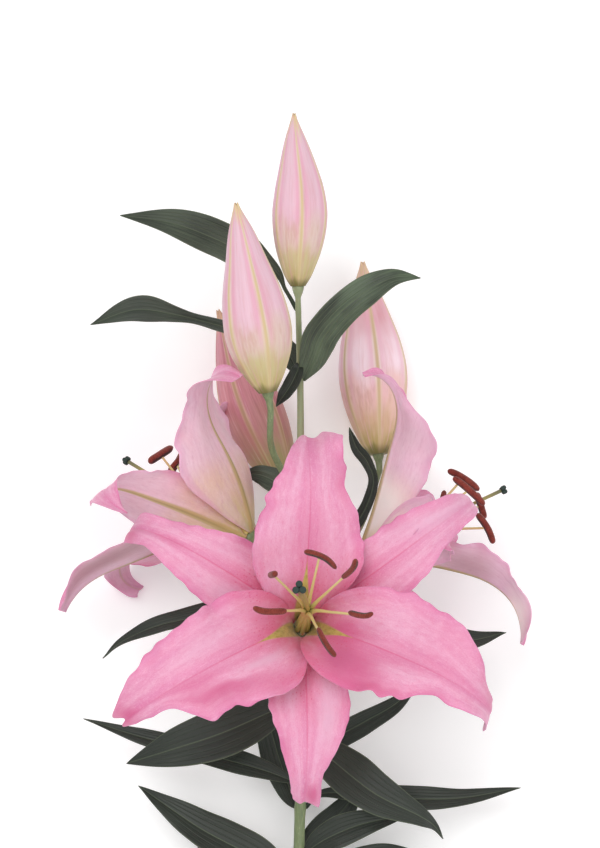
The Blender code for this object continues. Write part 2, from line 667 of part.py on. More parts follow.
def main():
    """Builds the lily."""
    clear_scene()
    pose = bpy.data.objects.new("resting_pose", None)
    bpy.context.scene.collection.objects.link(pose)
    finishes = {
        "stem": material("stem_green", (0.20, 0.31, 0.12), 0.5),
        "leaf": material("leaf_green", (0.05, 0.09, 0.045), 0.45),
        "bud": material("bud_pink", (0.78, 0.50, 0.50), 0.55),
        "petal": material("petal_pink", (0.87, 0.38, 0.56), 0.6),
        "stamen": material("pollen_brown", (0.30, 0.07, 0.04), 0.8),
        "pistil": material("style_green", (0.50, 0.48, 0.20), 0.5),
    }
    add_stem(finishes["stem"], pose)
    add_leaves(finishes["leaf"], pose)
    add_buds(finishes["bud"], pose)
    for bloom in BLOOMS:
        add_bloom(bloom, finishes, pose)
    lay_down(pose)


main()
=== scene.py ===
"""The looks of a cut oriental lily that lies on its back: stem, leaves, four buds and three open blooms.

The plant is worked out in its growing frame, in millimetres: x to its right, y up the stem from the cut
end, z towards the side that faces up. Repose turns that frame into the table's, in metres. Every surface
is a function of two parameters on a grid, made a closed mesh that carries its own run and width, which
the finishes read.
"""

from __future__ import annotations

import json
import logging
import math
from dataclasses import dataclass, replace
from enum import Enum
from typing import Callable

import bpy
import numpy as np
from mathutils import Matrix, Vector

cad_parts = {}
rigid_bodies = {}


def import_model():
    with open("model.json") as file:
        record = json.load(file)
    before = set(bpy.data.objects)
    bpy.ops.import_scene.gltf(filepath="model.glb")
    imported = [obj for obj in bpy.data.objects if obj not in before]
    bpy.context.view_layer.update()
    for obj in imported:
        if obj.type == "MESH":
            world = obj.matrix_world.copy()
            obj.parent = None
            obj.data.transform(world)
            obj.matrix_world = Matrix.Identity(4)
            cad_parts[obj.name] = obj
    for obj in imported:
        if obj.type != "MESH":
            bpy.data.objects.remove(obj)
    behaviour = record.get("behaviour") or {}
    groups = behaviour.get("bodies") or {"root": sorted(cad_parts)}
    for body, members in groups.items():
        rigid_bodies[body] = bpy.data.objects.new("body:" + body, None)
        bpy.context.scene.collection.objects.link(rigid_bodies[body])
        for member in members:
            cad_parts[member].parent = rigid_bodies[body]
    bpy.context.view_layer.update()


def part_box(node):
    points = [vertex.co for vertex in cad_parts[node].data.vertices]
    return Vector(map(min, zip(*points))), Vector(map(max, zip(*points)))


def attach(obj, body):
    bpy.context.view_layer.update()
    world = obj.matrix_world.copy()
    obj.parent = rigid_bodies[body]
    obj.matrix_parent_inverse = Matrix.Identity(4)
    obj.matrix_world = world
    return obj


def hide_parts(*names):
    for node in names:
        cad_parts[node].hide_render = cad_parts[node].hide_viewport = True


Array = np.ndarray
Vec3 = tuple[float, float, float]
Profile = tuple[tuple[float, float], ...]
Stops = tuple[tuple[float, str], ...]
Socket = bpy.types.NodeSocket

MM = 0.001  # millimetres to metres
TURN = 2 * math.pi
UP = np.array([0.0, 0.0, 1.0])
SEAT_GAP = 0.4  # clearance between a flower's piece and its stalk
PISTIL_STATIONS = 160
ANTHER_STATIONS = 44
ANTHER_SIDES = 28

log = logging.getLogger("lily")


# ---------------------------------------------------------------- curves and small sums


def unit(vector: Array) -> Array:
    """The vectors at length one, along the last axis."""
    vector = np.asarray(vector, float)
    return vector / np.linalg.norm(vector, axis=-1, keepdims=True)


def smooth(value: Array) -> Array:
    """0 below 0, 1 above 1, and an S curve between them."""
    value = np.clip(value, 0.0, 1.0)
    return value * value * (3 - 2 * value)


def bell(value: Array, centre: float, width: float) -> Array:
    """A bell curve of height one."""
    return np.exp(-(((value - centre) / width) ** 2))


def eased(points: Profile, share: Array) -> Array:
    """A smooth run of values: cubic pieces through (share, value) points, with central-difference slopes.

    Args:
        points: (share, value) pairs in rising order of share.
        share: where the values are wanted.

    Returns:
        One value for each share.
    """
    at, value = np.array(points, float).T
    slope = np.gradient(value, at)
    k = np.clip(np.searchsorted(at, share, side="right") - 1, 0, len(at) - 2)
    gap = at[k + 1] - at[k]
    t = np.clip((share - at[k]) / gap, 0, 1)
    rise = t * t * (3 - 2 * t)
    bow = gap * (t * (1 - t) ** 2 * slope[k] - t * t * (1 - t) * slope[k + 1])
    return value[k] * (1 - rise) + value[k + 1] * rise + bow


def tenths(*values: float) -> Profile:
    """A profile from eleven values, one at each tenth of the way."""
    return tuple((k / 10, value) for k, value in enumerate(values))


def curve_through(points: Array, count: int) -> Array:
    """Evenly spaced points along a Catmull-Rom curve.

    Args:
        points: the points that the curve passes through.
        count: how many points are wanted.

    Returns:
        The points, one a row.
    """
    points = np.asarray(points, float)
    padded = np.vstack([2 * points[0] - points[1], points, 2 * points[-1] - points[-2]])
    step = np.linspace(0, 1, 40, endpoint=False)[None, :, None]
    a, b, c, d = (padded[k : len(padded) - 3 + k, None] for k in range(4))
    cubic = 3 * b - 3 * c + d - a
    runs = b + 0.5 * ((c - a) * step + (2 * a - 5 * b + 4 * c - d) * step**2 + cubic * step**3)
    fine = np.vstack([runs.reshape(-1, 3), points[-1:]])
    length = np.concatenate([[0], np.cumsum(np.linalg.norm(np.diff(fine, axis=0), axis=1))])
    wanted = np.linspace(0, length[-1], count)
    return np.column_stack([np.interp(wanted, length, fine[:, k]) for k in range(3)])


def tangents(path: Array) -> Array:
    """Unit directions along a path of points."""
    return unit(np.gradient(path, axis=0))


def linear(code: str) -> tuple[float, float, float, float]:
    """A six-digit sRGB colour code as linear red, green, blue and alpha."""
    value = np.array([int(code[k : k + 2], 16) for k in (0, 2, 4)]) / 255
    red, green, blue = np.where(value <= 0.04045, value / 12.92, ((value + 0.055) / 1.055) ** 2.4)
    return float(red), float(green), float(blue), 1.0


# ---------------------------------------------------------------- how the plant lies


@dataclass(frozen=True)
class Repose:
    """The turn and the shift from the growing frame, in millimetres, to the table's frame, in metres."""

    lean: float = math.radians(12.28)
    shift: Vec3 = (0.0, 0.0, 0.0)

    def turn(self, points: Array) -> Array:
        """Directions or points leaned back with the stem, unshifted."""
        cosine, sine = math.cos(self.lean), math.sin(self.lean)
        return np.asarray(points, float) @ np.array([[1, 0, 0], [0, cosine, sine], [0, -sine, cosine]])

    def place(self, points: Array) -> Array:
        """Points of the growing frame, in metres on the table."""
        return self.turn(points) * MM + np.array(self.shift)


# ---------------------------------------------------------------- meshes from grids


@dataclass
class Piece:
    """A mesh on its way: points in the growing frame, faces by their corners, and values that it carries."""

    name: str
    points: Array
    faces: list[Array]
    sheet: Array
    shape: Array
    painted_light: Array | None = None

    def make(self, repose: Repose) -> bpy.types.Object:
        """Puts the arrays into a smooth mesh, with sheet and shape as attributes of its points.

        Args:
            repose: how the plant lies.

        Returns:
            The object, at the origin.
        """
        mesh = bpy.data.meshes.new(self.name)
        corners = np.concatenate([face.ravel() for face in self.faces]).astype(np.int32)
        sizes = np.concatenate([np.full(len(face), face.shape[1]) for face in self.faces])
        mesh.vertices.add(len(self.points))
        mesh.vertices.foreach_set("co", self.repose_points(repose))
        mesh.loops.add(len(corners))
        mesh.loops.foreach_set("vertex_index", corners)
        mesh.polygons.add(len(sizes))
        mesh.polygons.foreach_set("loop_start",
            np.concatenate([[0], np.cumsum(sizes)[:-1]]).astype(np.int32))
        mesh.update(calc_edges=True)
        mesh.validate()
        for name, values in (("sheet", self.sheet), ("shape", self.shape)):
            held = mesh.attributes.new(name, "FLOAT_VECTOR", "POINT")
            held.data.foreach_set("vector", np.asarray(values, np.float32).ravel())
        if self.painted_light is not None:
            held = mesh.attributes.new("painted_light", "FLOAT", "POINT")
            held.data.foreach_set("value", np.asarray(self.painted_light, np.float32).ravel())
        mesh.shade_smooth()
        made = bpy.data.objects.new(self.name, mesh)
        bpy.context.scene.collection.objects.link(made)
        return made

    def repose_points(self, repose: Repose) -> Array:
        """The points on the table, flat, as foreach_set takes them."""
        return repose.place(self.points).astype(np.float32).ravel()


def join(name: str, pieces: list[Piece]) -> Piece:
    """Several pieces as one, each still a closed body of its own.

    Args:
        name: the name of the joined piece.
        pieces: what is joined.

    Returns:
        The joined piece.
    """
    starts = np.cumsum([0] + [len(piece.points) for piece in pieces[:-1]])
    faces = [face + start for piece, start in zip(pieces, starts) for face in piece.faces]
    stacked = [np.concatenate([getattr(p, key) for p in pieces]) for key in ("points", "sheet", "shape")]
    return Piece(name, stacked[0], faces, stacked[1], stacked[2])


def blade(name: str, middle: Array, front: Array, back: Array, sheet: Array, shape: Array,
        mirrored: bool = False) -> Piece:
    """A closed blade round a middle sheet: its front and back stand off along the sheet's normals.

    Args:
        name: the piece's name.
        middle: the middle sheet, stations by columns by 3.
        front: how far the front stands off, in millimetres, stations by columns.
        back: the same for the back.
        sheet: (distance from the midrib, run from the foot) of each point, in millimetres.
        shape: (share of the run, share of the half width, how far it stands in a ruffle) of each point.
        mirrored: whether the columns run the other way about the front.

    Returns:
        The blade. Its sheet's third value is 1 on the front and 0 on the back.
    """
    if mirrored:
        middle, front, back, sheet, shape = (values[:, ::-1] for values in (middle, front, back, sheet,
            shape))
    rows, columns = middle.shape[:2]
    along = np.gradient(middle, axis=0)
    across = np.gradient(middle, axis=1)
    normal = unit(np.cross(across, along))
    points = np.concatenate([middle + front[..., None] * normal, middle - back[..., None] * normal])
    index = np.arange(rows * columns).reshape(rows, columns)
    quads = np.stack([index[:-1, :-1], index[:-1, 1:], index[1:, 1:], index[1:, :-1]], -1).reshape(-1, 4)
    loop = np.concatenate([index[0, :-1], index[:-1, -1], index[-1, :0:-1], index[:0:-1, 0]])
    after = np.roll(loop, -1)
    low = index.size
    rim = np.column_stack([after, loop, loop + low, after + low])
    face = np.concatenate([np.ones(index.size), np.zeros(index.size)])
    sheet = np.column_stack([np.tile(sheet.reshape(-1, 2), (2, 1)), face])
    shape = np.tile(shape.reshape(-1, 3), (2, 1))
    return Piece(name, points.reshape(-1, 3), [quads, quads[:, ::-1] + low, rim], sheet, shape)


def rings_along(path: Array, radii: Array, sides: int, lobes: Callable | None = None) -> Array:
    """Rings of points round a path, each in the plane across it, with a frame carried from ring to ring.

    Args:
        path: the line's points.
        radii: the radius at each of them.
        sides: how many points a ring has.
        lobes: a function of the angles and the stations that scales the radius round each ring.

    Returns:
        Stations by sides by 3.
    """
    along = tangents(path)
    side = unit(np.cross(along[0], UP if abs(along[0][2]) < 0.9 else np.array([0.0, 1.0, 0.0])))
    frames = []
    for forward in along:
        side = unit(side - (side @ forward) * forward)
        frames.append((side, np.cross(side, forward)))
    sideways, over = np.array(frames).transpose(1, 0, 2)
    angle = np.arange(sides) * TURN / sides
    reach = np.asarray(radii, float)[:, None] * np.ones(sides)
    if lobes:
        reach = reach * lobes(angle[None, :], np.linspace(0, 1, len(path))[:, None])
    swing = reach * np.cos(angle), reach * np.sin(angle)
    return path[:, None] + swing[0][..., None] * sideways[:, None] + swing[1][..., None] * over[:, None]


def loft(name: str, rings: Array) -> Piece:
    """A closed solid through rings, each end closed on a point in its middle.

    Args:
        name: the piece's name.
        rings: stations by sides by 3.

    Returns:
        The solid. sheet holds (angle, run in millimetres, 0) and shape (share of the run, angle share, 0).
    """
    count, sides = rings.shape[:2]
    index = np.arange(count * sides).reshape(count, sides)
    after = np.roll(index, -1, axis=1)
    skin = np.stack([after[:-1], index[:-1], index[1:], after[1:]], -1).reshape(-1, 4)
    foot, tip = count * sides, count * sides + 1
    caps = np.concatenate(
        [
            np.column_stack([index[0], after[0], np.full(sides, foot)]),
            np.column_stack([after[-1], index[-1], np.full(sides, tip)]),
        ]
    )
    centres = rings.mean(axis=1)
    run = np.concatenate([[0], np.cumsum(np.linalg.norm(np.diff(centres, axis=0), axis=1))])
    turn = np.arange(sides) / sides
    zero = np.zeros((count, sides))
    sheet = np.stack([zero + turn * TURN, zero + run[:, None], zero], -1).reshape(-1, 3)
    shape = np.stack([zero + np.linspace(0, 1, count)[:, None], zero + turn, zero], -1).reshape(-1, 3)
    ends = [[0, run[0], 0], [0, run[-1], 0]]
    points = np.concatenate([rings.reshape(-1, 3), centres[:1], centres[-1:]])
    sheet = np.concatenate([sheet, ends])
    shape = np.concatenate([shape, [[0, 0, 0], [1, 0, 0]]])
    return Piece(name, points, [skin, caps], sheet, shape)


# ---------------------------------------------------------------- finishes


class Recipe:
    """A node material written as sums: each method adds one node and gives back its output."""

    def __init__(self, name: str) -> None:
        """Starts a material with its Principled shader."""
        self.material = bpy.data.materials.new(name)
        self.material.use_nodes = True
        self.tree = self.material.node_tree
        self.shader = self.tree.nodes["Principled BSDF"]

    def put(self, socket: Socket, value: object) -> None:
        """Links a socket to an output, or sets it to a value or to the colour of a colour code."""
        if isinstance(value, Socket):
            self.tree.links.new(value, socket)
        elif value is not None:
            socket.default_value = linear(value) if isinstance(value, str) else value

    def node(self, kind: str, inputs: dict[int | str, object], output: int | str = 0,
            **settings: object) -> Socket:
        """Adds one node.

        Args:
            kind: its type, without the leading ShaderNode.
            inputs: what goes into its sockets, by their name or place.
            output: the name or place of the output that is wanted.
            settings: its own properties.

        Returns:
            The output.
        """
        made = self.tree.nodes.new("ShaderNode" + kind)
        for key, value in settings.items():
            setattr(made, key, value)
        for key, value in inputs.items():
            self.put(made.inputs[key], value)
        return made.outputs[output]

    def split(self, vector: Socket) -> list[Socket]:
        """A vector's three values."""
        made = self.tree.nodes.new("ShaderNodeSeparateXYZ")
        self.put(made.inputs[0], vector)
        return list(made.outputs)

    def attribute(self, name: str) -> list[Socket]:
        """The three values of one of the piece's own attributes, and the vector itself."""
        vector = self.node("Attribute", {}, "Vector", attribute_name=name)
        return [*self.split(vector), vector]

    def coordinates(self) -> Socket:
        """Places on the object, in metres."""
        return self.node("TexCoord", {}, "Object")

    def sum(self, how: str, a: object, b: object = None) -> Socket:
        """One Math node: how is its operation."""
        return self.node("Math", {0: a, 1: b}, operation=how)

    def times(self, a: object, b: object) -> Socket:
        """A product."""
        return self.sum("MULTIPLY", a, b)

    def size(self, value: object) -> Socket:
        """A value without its sign."""
        return self.sum("ABSOLUTE", value)

    def stretch(self, vector: object, scale: Vec3) -> Socket:
        """A vector scaled along each axis."""
        return self.node("VectorMath", {0: vector, 1: scale}, operation="MULTIPLY")

    def noise(self, vector: object, detail: float = 3.0, roughness: float = 0.5,
            scale: float = 1.0) -> Socket:
        """Noise from 0 to 1 over a vector."""
        return self.node("TexNoise", {"Vector": vector, "Scale": scale, "Detail": detail,
            "Roughness": roughness}, "Fac")

    def dots(self, vector: object) -> Socket:
        """The distance to the nearest of scattered points."""
        return self.node("TexVoronoi", {"Vector": vector, "Scale": 1.0}, "Distance")

    def span(self, value: object, low: float, high: float, to_low: float = 0.0,
            to_high: float = 1.0) -> Socket:
        """A value's place between two limits, eased in and out."""
        inputs = {"Value": value, "From Min": low, "From Max": high, "To Min": to_low, "To Max": to_high}
        return self.node("MapRange", inputs, interpolation_type="SMOOTHSTEP")

    def fall(self, value: object, low: float, high: float) -> Socket:
        """One below the lower limit, eased down to nothing at the upper one."""
        return self.span(value, low, high, 1.0, 0.0)

    def near(self, value: object, width: float) -> Socket:
        """One where a value is 0, eased to nothing at a width to either side."""
        return self.fall(self.size(value), 0.0, width)

    def mix(self, share: object, a: object, b: object) -> Socket:
        """Two colours mixed: b takes the share."""
        return self.node("Mix", {0: share, 6: a, 7: b}, 2, data_type="RGBA")

    def paint(self, colour: object, *coats: tuple[object, object]) -> Socket:
        """A colour under coats of others, in order, each given by its share and its colour."""
        for share, coat in coats:
            colour = self.mix(share, colour, coat)
        return colour

    def ramp(self, value: object, stops: Stops) -> Socket:
        """A colour by its place among stops of (position, colour code)."""
        made = self.tree.nodes.new("ShaderNodeValToRGB")
        made.color_ramp.interpolation = "EASE"
        while len(made.color_ramp.elements) < len(stops):
            made.color_ramp.elements.new(0.5)
        for element, (position, code) in zip(made.color_ramp.elements, stops):
            element.position = position
            element.color = linear(code)
        self.put(made.inputs[0], value)
        return made.outputs[0]

    def finish(
        self,
        colour: object,
        roughness: object,
        bump: object = None,
        lift: float = 0.0002,
        **gloss: float | tuple[float, ...],
    ) -> bpy.types.Material:
        """Sets the shader's sockets.

        Args:
            colour: the base colour.
            roughness: the roughness.
            bump: the relief, or none.
            lift: how far the relief stands up, in metres.
            gloss: other sockets by name, with _ for each space.

        Returns:
            The material.
        """
        self.put(self.shader.inputs["Base Color"], colour)
        self.put(self.shader.inputs["Roughness"], roughness)
        for key, value in gloss.items():
            self.shader.inputs[key.replace("_", " ")].default_value = value
        if bump is not None:
            self.put(self.shader.inputs["Normal"], self.node("Bump", {"Distance": lift, "Height": bump}))
        return self.material


@dataclass(frozen=True)
class TepalFinish:
    """The skin of petals and sepals: pink inside, paler outside with a coloured midrib, green at the foot."""

    name: str
    inside: Stops = (
        (0.0, "E8DC9A"), (0.09, "E2BE92"), (0.18, "D68CA4"), (0.4, "DD95B4"), (0.7, "DF97B7"),
            (1.0, "D583A9")
    )
    outside: Stops = (
        (0.0, "A3A055"), (0.08, "D6C48C"), (0.22, "E6C6BE"), (0.45, "E3BCCE"), (0.8, "DFB0C8"),
            (1.0, "D39BB8")
    )
    pale: str = "E0A8C1"
    deep: str = "D0668F"
    margin: str = "D47CA7"
    vein: str = "CB96B0"
    rib: str = "BFA56C"
    rib_width: float = 2.2
    furrow: float = 4.6

    def make(self) -> bpy.types.Material:
        """Builds the material: colours by run and width, veins along the blade, specks by the throat, and
        painted shade and highlight over ruffles, creases and listed patches.

        Returns:
            The material.
        """
        r = Recipe(self.name)
        beside, run, inner, flat = r.attribute("sheet")
        along, across, wave, form = r.attribute("shape")
        # painted light: the sum of the petal's patches, above 0 a painted highlight, below 0 painted shade
        tone = r.node("Attribute", {}, "Fac", attribute_name="painted_light")
        width = r.size(across)
        off = r.size(beside)
        # nerves and bands close up with the blade; feather leaves the midrib; the rest lie in its own plane
        nerves = r.noise(r.stretch(form, (2.2, 17.0, 0.0)), 4.0, 0.6)
        bands = r.noise(r.stretch(form, (1.5, 4.2, 0.0)))
        # thin lines of painted shade, as in fine creases
        crease_shade = r.near(r.sum("SUBTRACT", r.noise(r.stretch(form, (1.1, 3.4, 0.0)), 2.0, scale=1.7), 0.5),
            0.014)
        feather = r.noise(self.slant(r, off, run), 3.0, 0.55)
        mottle = r.noise(r.stretch(flat, (0.55, 0.2, 3.0)), 6.0, 0.75)
        grain = r.noise(r.stretch(flat, (1.7, 1.1, 3.0)), 3.0, 0.7)
        clouds = r.noise(r.stretch(flat, (0.07, 0.035, 3.0)), 3.0, 0.6)
        middle = r.times(r.span(width, 0.08, 0.4), r.fall(width, 0.6, 0.95))
        flush = r.times(r.fall(off, 1.0, 9.0), r.span(along, 0.12, 0.75, 0.75, 0.0))
        sides = r.times(r.span(width, 0.2, 0.75), r.span(along, 0.75, 0.3))
        belt = r.times(r.span(run, 16.0, 28.0), r.fall(run, 40.0, 66.0))
        belt = r.times(belt, r.span(clouds, 0.4, 0.6, 0.25, 1.0))
        specks = r.times(r.fall(r.dots(r.stretch(flat, (0.62, 0.42, 1.0))), 0.12, 0.3), belt)
        pink = r.paint(
            r.ramp(along, self.inside),
            (r.times(middle, r.span(clouds, 0.3, 0.65, 0.2, 0.8)), self.pale),
            (r.times(r.span(width, 0.72, 1.0), 0.6), self.margin),
            (r.times(flush, r.span(clouds, 0.25, 0.7, 0.5, 1.0)), self.deep),
            (r.span(nerves, 0.42, 0.7, 0.0, 0.22), self.margin),
            (r.span(bands, 0.5, 0.7, 0.0, 0.45), self.margin),
            (r.span(bands, 0.5, 0.3, 0.0, 0.45), "E6B2CC"),
            (r.span(mottle, 0.5, 0.75, 0.0, 0.5), "D46C94"),
            (r.span(mottle, 0.5, 0.25, 0.0, 0.6), "ECBCD2"),
            (r.span(grain, 0.5, 0.75, 0.0, 0.3), "D0668E"),
            (r.span(grain, 0.5, 0.25, 0.0, 0.35), "F0C6DA"),
            # painted shade: thin deeper lines standing for shade in fine creases
            (r.times(crease_shade, 0.14), "C85C86"),
            (r.times(r.span(feather, 0.5, 0.72, 0.0, 0.25), sides), self.margin),
            # painted shade and painted highlight: deeper pink in the ruffles' troughs, paler on their crests
            (r.span(wave, -0.4, -2.6, 0.0, 0.4), "D678A4"),
            (r.span(wave, 0.6, 2.6, 0.0, 0.3), self.pale),
            (r.times(r.span(run, 14.0, 72.0, 0.9, 0.0), r.span(clouds, 0.32, 0.6)), "D2607F"),
            (r.times(r.near(beside, 0.75), r.span(along, 0.1, 0.95, 0.8, 0.15)), "D5557F"),
            # painted highlight and painted shade from the petal's listed patches
            (r.span(tone, 0.0, 1.0, 0.0, 0.85), "DDB2C8"),
            (r.span(tone, 0.0, -1.0, 0.0, 0.85), "C95C88"),
            (r.times(specks, 0.6), "D04A74"),
        )
        if self.furrow:
            inward = r.sum("SUBTRACT", r.span(run, 12.0, 58.0, self.furrow, 0.0), off)
            lips = r.times(r.span(inward, -0.9, 0.1), r.span(run, 45.0, 20.0, 0.0, 0.5))
            shade = r.mix(r.span(mottle, 0.35, 0.6), "A8924A", "C4B064")
            spots = r.times(r.span(clouds, 0.45, 0.6), r.span(run, 26.0, 40.0, 0.7, 0.0))
            pink = r.paint(pink, (lips, "A79A5A"),
                (r.span(inward, 0.0, 0.7), r.mix(spots, shade, "7D8148")))
        out = r.sum("DIVIDE", off, r.span(along, 0.0, 1.0, self.rib_width, 0.5))
        pale = r.paint(
            r.ramp(along, self.outside),
            (r.span(clouds, 0.35, 0.7, 0.0, 0.5), "EACDDA"),
            (r.span(nerves, 0.45, 0.72, 0.0, 0.2), self.vein),
            (r.span(bands, 0.5, 0.75, 0.0, 0.4), self.vein),
            (r.span(mottle, 0.5, 0.75, 0.0, 0.45), "C48AA4"),
            (r.span(mottle, 0.5, 0.25, 0.0, 0.4), "EFD8E0"),
            (r.times(r.span(width, 0.8, 1.0), 0.45), "DC9CBE"),
            # painted shade: darker where a ruffle dips on the outer face
            (r.span(wave, 0.5, 2.6, 0.0, 0.35), "B97C9A"),
            # painted highlight and painted shade from the petal's listed patches, on the outer face
            (r.span(tone, 0.0, 1.0, 0.0, 0.95), "F8ECE8"),
            (r.span(tone, 0.0, -1.0, 0.0, 0.85), "A8747C"),
            (r.times(r.fall(out, 0.5, 1.3), r.span(along, 0.55, 1.0, 0.85, 0.3)), self.rib),
            (r.times(r.fall(out, 0.1, 0.45), r.span(along, 0.5, 0.9, 0.35, 0.0)), "7F7440"),
        )
        relief = r.sum("ADD", r.times(nerves, 0.8), r.times(specks, 0.6))
        relief = r.sum("ADD", relief, r.times(r.sum("ADD", mottle, feather), 0.3))
        return r.finish(
            r.mix(inner, pale, pink), 0.58, relief, 0.00018,
            Subsurface_Weight=0.35, Subsurface_Scale=0.0016, Subsurface_Radius=(0.75, 0.45, 0.5),
            Specular_IOR_Level=0.25, Sheen_Weight=0.15, Sheen_Roughness=0.5,
        )

    def slant(self, r: Recipe, off: object, run: object) -> Socket:
        """A place to read noise at that draws lines leaving the midrib at a narrow angle."""
        aside = r.times(r.sum("SUBTRACT", off, r.times(run, 0.55)), 0.75)
        return r.node("CombineXYZ", {0: aside, 1: r.times(run, 0.06)})


@dataclass(frozen=True)
class LeafFinish:
    """A leaf's skin: dark green, ribbed along its length, paler along the midrib and beneath."""

    name: str
    face: str
    vein: str
    back: str
    veins: float = 13.0  # how fast the parallel veins follow one another across a half

    def make(self) -> bpy.types.Material:
        """Builds the material: parallel veins across the width, clouds of tone, a satin gloss.

        Returns:
            The material.
        """
        r = Recipe(self.name)
        beside, _, inner, flat = r.attribute("sheet")
        across = r.attribute("shape")[1]
        clouds = r.noise(r.stretch(flat, (0.08, 0.03, 2.0)))
        streaks = r.noise(r.stretch(flat, (1.6, 0.03, 1.0)), 3.0, 0.55)
        veins = r.fall(r.size(r.sum("SINE", r.times(across, self.veins))), 0.0, 0.45)
        face = r.paint(
            r.mix(r.span(clouds, 0.3, 0.7), self.face, "30362F"),
            (r.span(streaks, 0.4, 0.8, 0.0, 0.45), self.vein),
            (r.times(veins, 0.4), self.vein),
            (r.times(r.near(beside, 0.7), 0.6), "65705A"),
            (r.times(r.span(r.size(across), 0.93, 1.0), 0.5), "707A5E"),
        )
        under = r.mix(r.span(streaks, 0.3, 0.8, 0.0, 0.6), self.back, "6B765E")
        relief = r.sum("ADD", r.times(veins, -0.6), r.times(streaks, 0.5))
        return r.finish(r.mix(inner, under, face), 0.5, relief, 0.0003, Specular_IOR_Level=0.4)


@dataclass(frozen=True)
class BudFinish:
    """A closed bud's skin: pale pink with yellow-green ribs, greener towards its foot."""

    name: str
    turn: float
    run: Stops = (
        (0.0, "8F8A4C"), (0.05, "C0B27A"), (0.14, "C6BA8A"), (0.28, "D8BFB6"),
        (0.45, "DFB8C6"), (0.85, "DDB9C6"), (1.0, "D9C98F"),
    )
    rib: str = "CCB88A"
    blush: str = "DB93AD"
    streak: str = "D3A0A8"

    def make(self) -> bpy.types.Material:
        """Builds the material: colours by run, six ribs by angle, a blush beside them and fine streaks.

        Returns:
            The material.
        """
        r = Recipe(self.name)
        angle, _, _, flat = r.attribute("sheet")
        along = r.attribute("shape")[0]
        swing = r.times(r.sum("SUBTRACT", angle, math.radians(self.turn)), 3.0)
        six = r.size(r.sum("SINE", swing))  # 0 on each of the six ribs
        beside = r.times(r.span(six, 0.2, 0.4), r.fall(six, 0.5, 0.9))
        streaks = r.noise(r.stretch(flat, (9.0, 0.03, 1.0)), 4.0, 0.6)
        clouds = r.noise(r.stretch(flat, (1.2, 0.04, 1.0)), 2.0)
        patches = r.noise(r.stretch(flat, (5.0, 0.05, 1.0)), 3.0, 0.6)
        low = r.times(r.span(along, 0.05, 0.2), r.fall(along, 0.3, 0.5))
        colour = r.paint(
            r.ramp(r.sum("ADD", along, r.times(r.sum("SUBTRACT", clouds, 0.5), 0.25)), self.run),
            (r.times(r.times(beside, r.span(along, 0.1, 0.45)), 0.5), self.blush),
            (r.span(six, 0.08, 0.45, 0.5, 0.0), "DCCDA2"),
            (r.span(streaks, 0.45, 0.75, 0.0, 0.6), self.streak),
            (r.span(streaks, 0.45, 0.25, 0.0, 0.35), "F0D2D6"),
            (r.times(low, r.span(patches, 0.48, 0.7, 0.0, 0.4)), "C08C78"),
            (r.times(r.fall(six, 0.05, 0.22), r.span(along, 0.5, 1.0, 0.85, 0.5)), self.rib),
            (r.span(along, 0.0, 0.05, 0.8, 0.0), "6E6A3C"),
        )
        return r.finish(
            colour, 0.5, streaks, 0.0003,
            Subsurface_Weight=0.25, Subsurface_Scale=0.003, Subsurface_Radius=(1.0, 0.6, 0.6),
                Specular_IOR_Level=0.35,
        )


@dataclass(frozen=True)
class StemFinish:
    """The stem's skin: green with brown streaks along it, and paler on its young upper part."""

    name: str
    green: str = "6B7A54"
    pale: str = "808D63"
    brown: str = "7A6448"
    fleck: str = "A7AE86"
    young: str = "A3AD86"

    def make(self) -> bpy.types.Material:
        """Builds the material: streaks drawn out up the stem and small pale flecks.

        Returns:
            The material.
        """
        r = Recipe(self.name)
        place = r.coordinates()
        x, y, _ = r.split(place)
        streaks = r.noise(r.stretch(place, (900.0, 30.0, 900.0)), 4.0, 0.6)
        clouds = r.noise(r.stretch(place, (60.0, 14.0, 60.0)))
        flecks = r.dots(r.stretch(place, (700.0, 260.0, 700.0)))
        colour = r.paint(
            r.mix(r.span(streaks, 0.35, 0.7), self.green, self.pale),
            (r.times(r.span(clouds, 0.48, 0.66), r.span(streaks, 0.3, 0.6, 0.2, 0.8)), self.brown),
            (r.span(flecks, 0.1, 0.2, 0.35, 0.0), self.fleck),
            (r.times(r.fall(r.size(x), 0.003, 0.006), r.span(y, -0.08, 0.12, 0.0, 0.65)), self.young),
        )
        return r.finish(colour, 0.48, streaks, 0.0002, Subsurface_Weight=0.1, Subsurface_Scale=0.002)


@dataclass(frozen=True)
class PollenFinish:
    """Anthers thick with pollen: rust brown, darker in patches and green-black along the seam."""

    name: str = "rust_pollen"

    def make(self) -> bpy.types.Material:
        """Builds the material: grains by fine noise, and the dark seam by the anther's own values.

        Returns:
            The material.
        """
        r = Recipe(self.name)
        grains = r.noise(r.coordinates(), 3.0, 0.7, 1800.0)
        colour = r.paint(
            r.mix(r.span(grains, 0.3, 0.7), "6E2F28", "944438"),
            (r.span(r.noise(r.coordinates(), 2.0, scale=300.0), 0.4, 0.7, 0.0, 0.5), "5C2722"),
            (r.attribute("sheet")[2], "31332B"),
        )
        return r.finish(colour, 0.9, grains, 0.0004, Specular_IOR_Level=0.15, Sheen_Weight=0.2)


@dataclass(frozen=True)
class FilamentFinish:
    """Filaments: smooth, pale yellow-green, a little deeper midway."""

    name: str = "filament_yellow_green"
    run: Stops = ((0.0, "DCD284"), (0.4, "D6C880"), (1.0, "D9CA8E"))

    def make(self) -> bpy.types.Material:
        """Builds the material: colours by the run."""
        r = Recipe(self.name)
        colour = r.ramp(r.attribute("shape")[0], self.run)
        return r.finish(colour, 0.45, Subsurface_Weight=0.2, Subsurface_Scale=0.001)


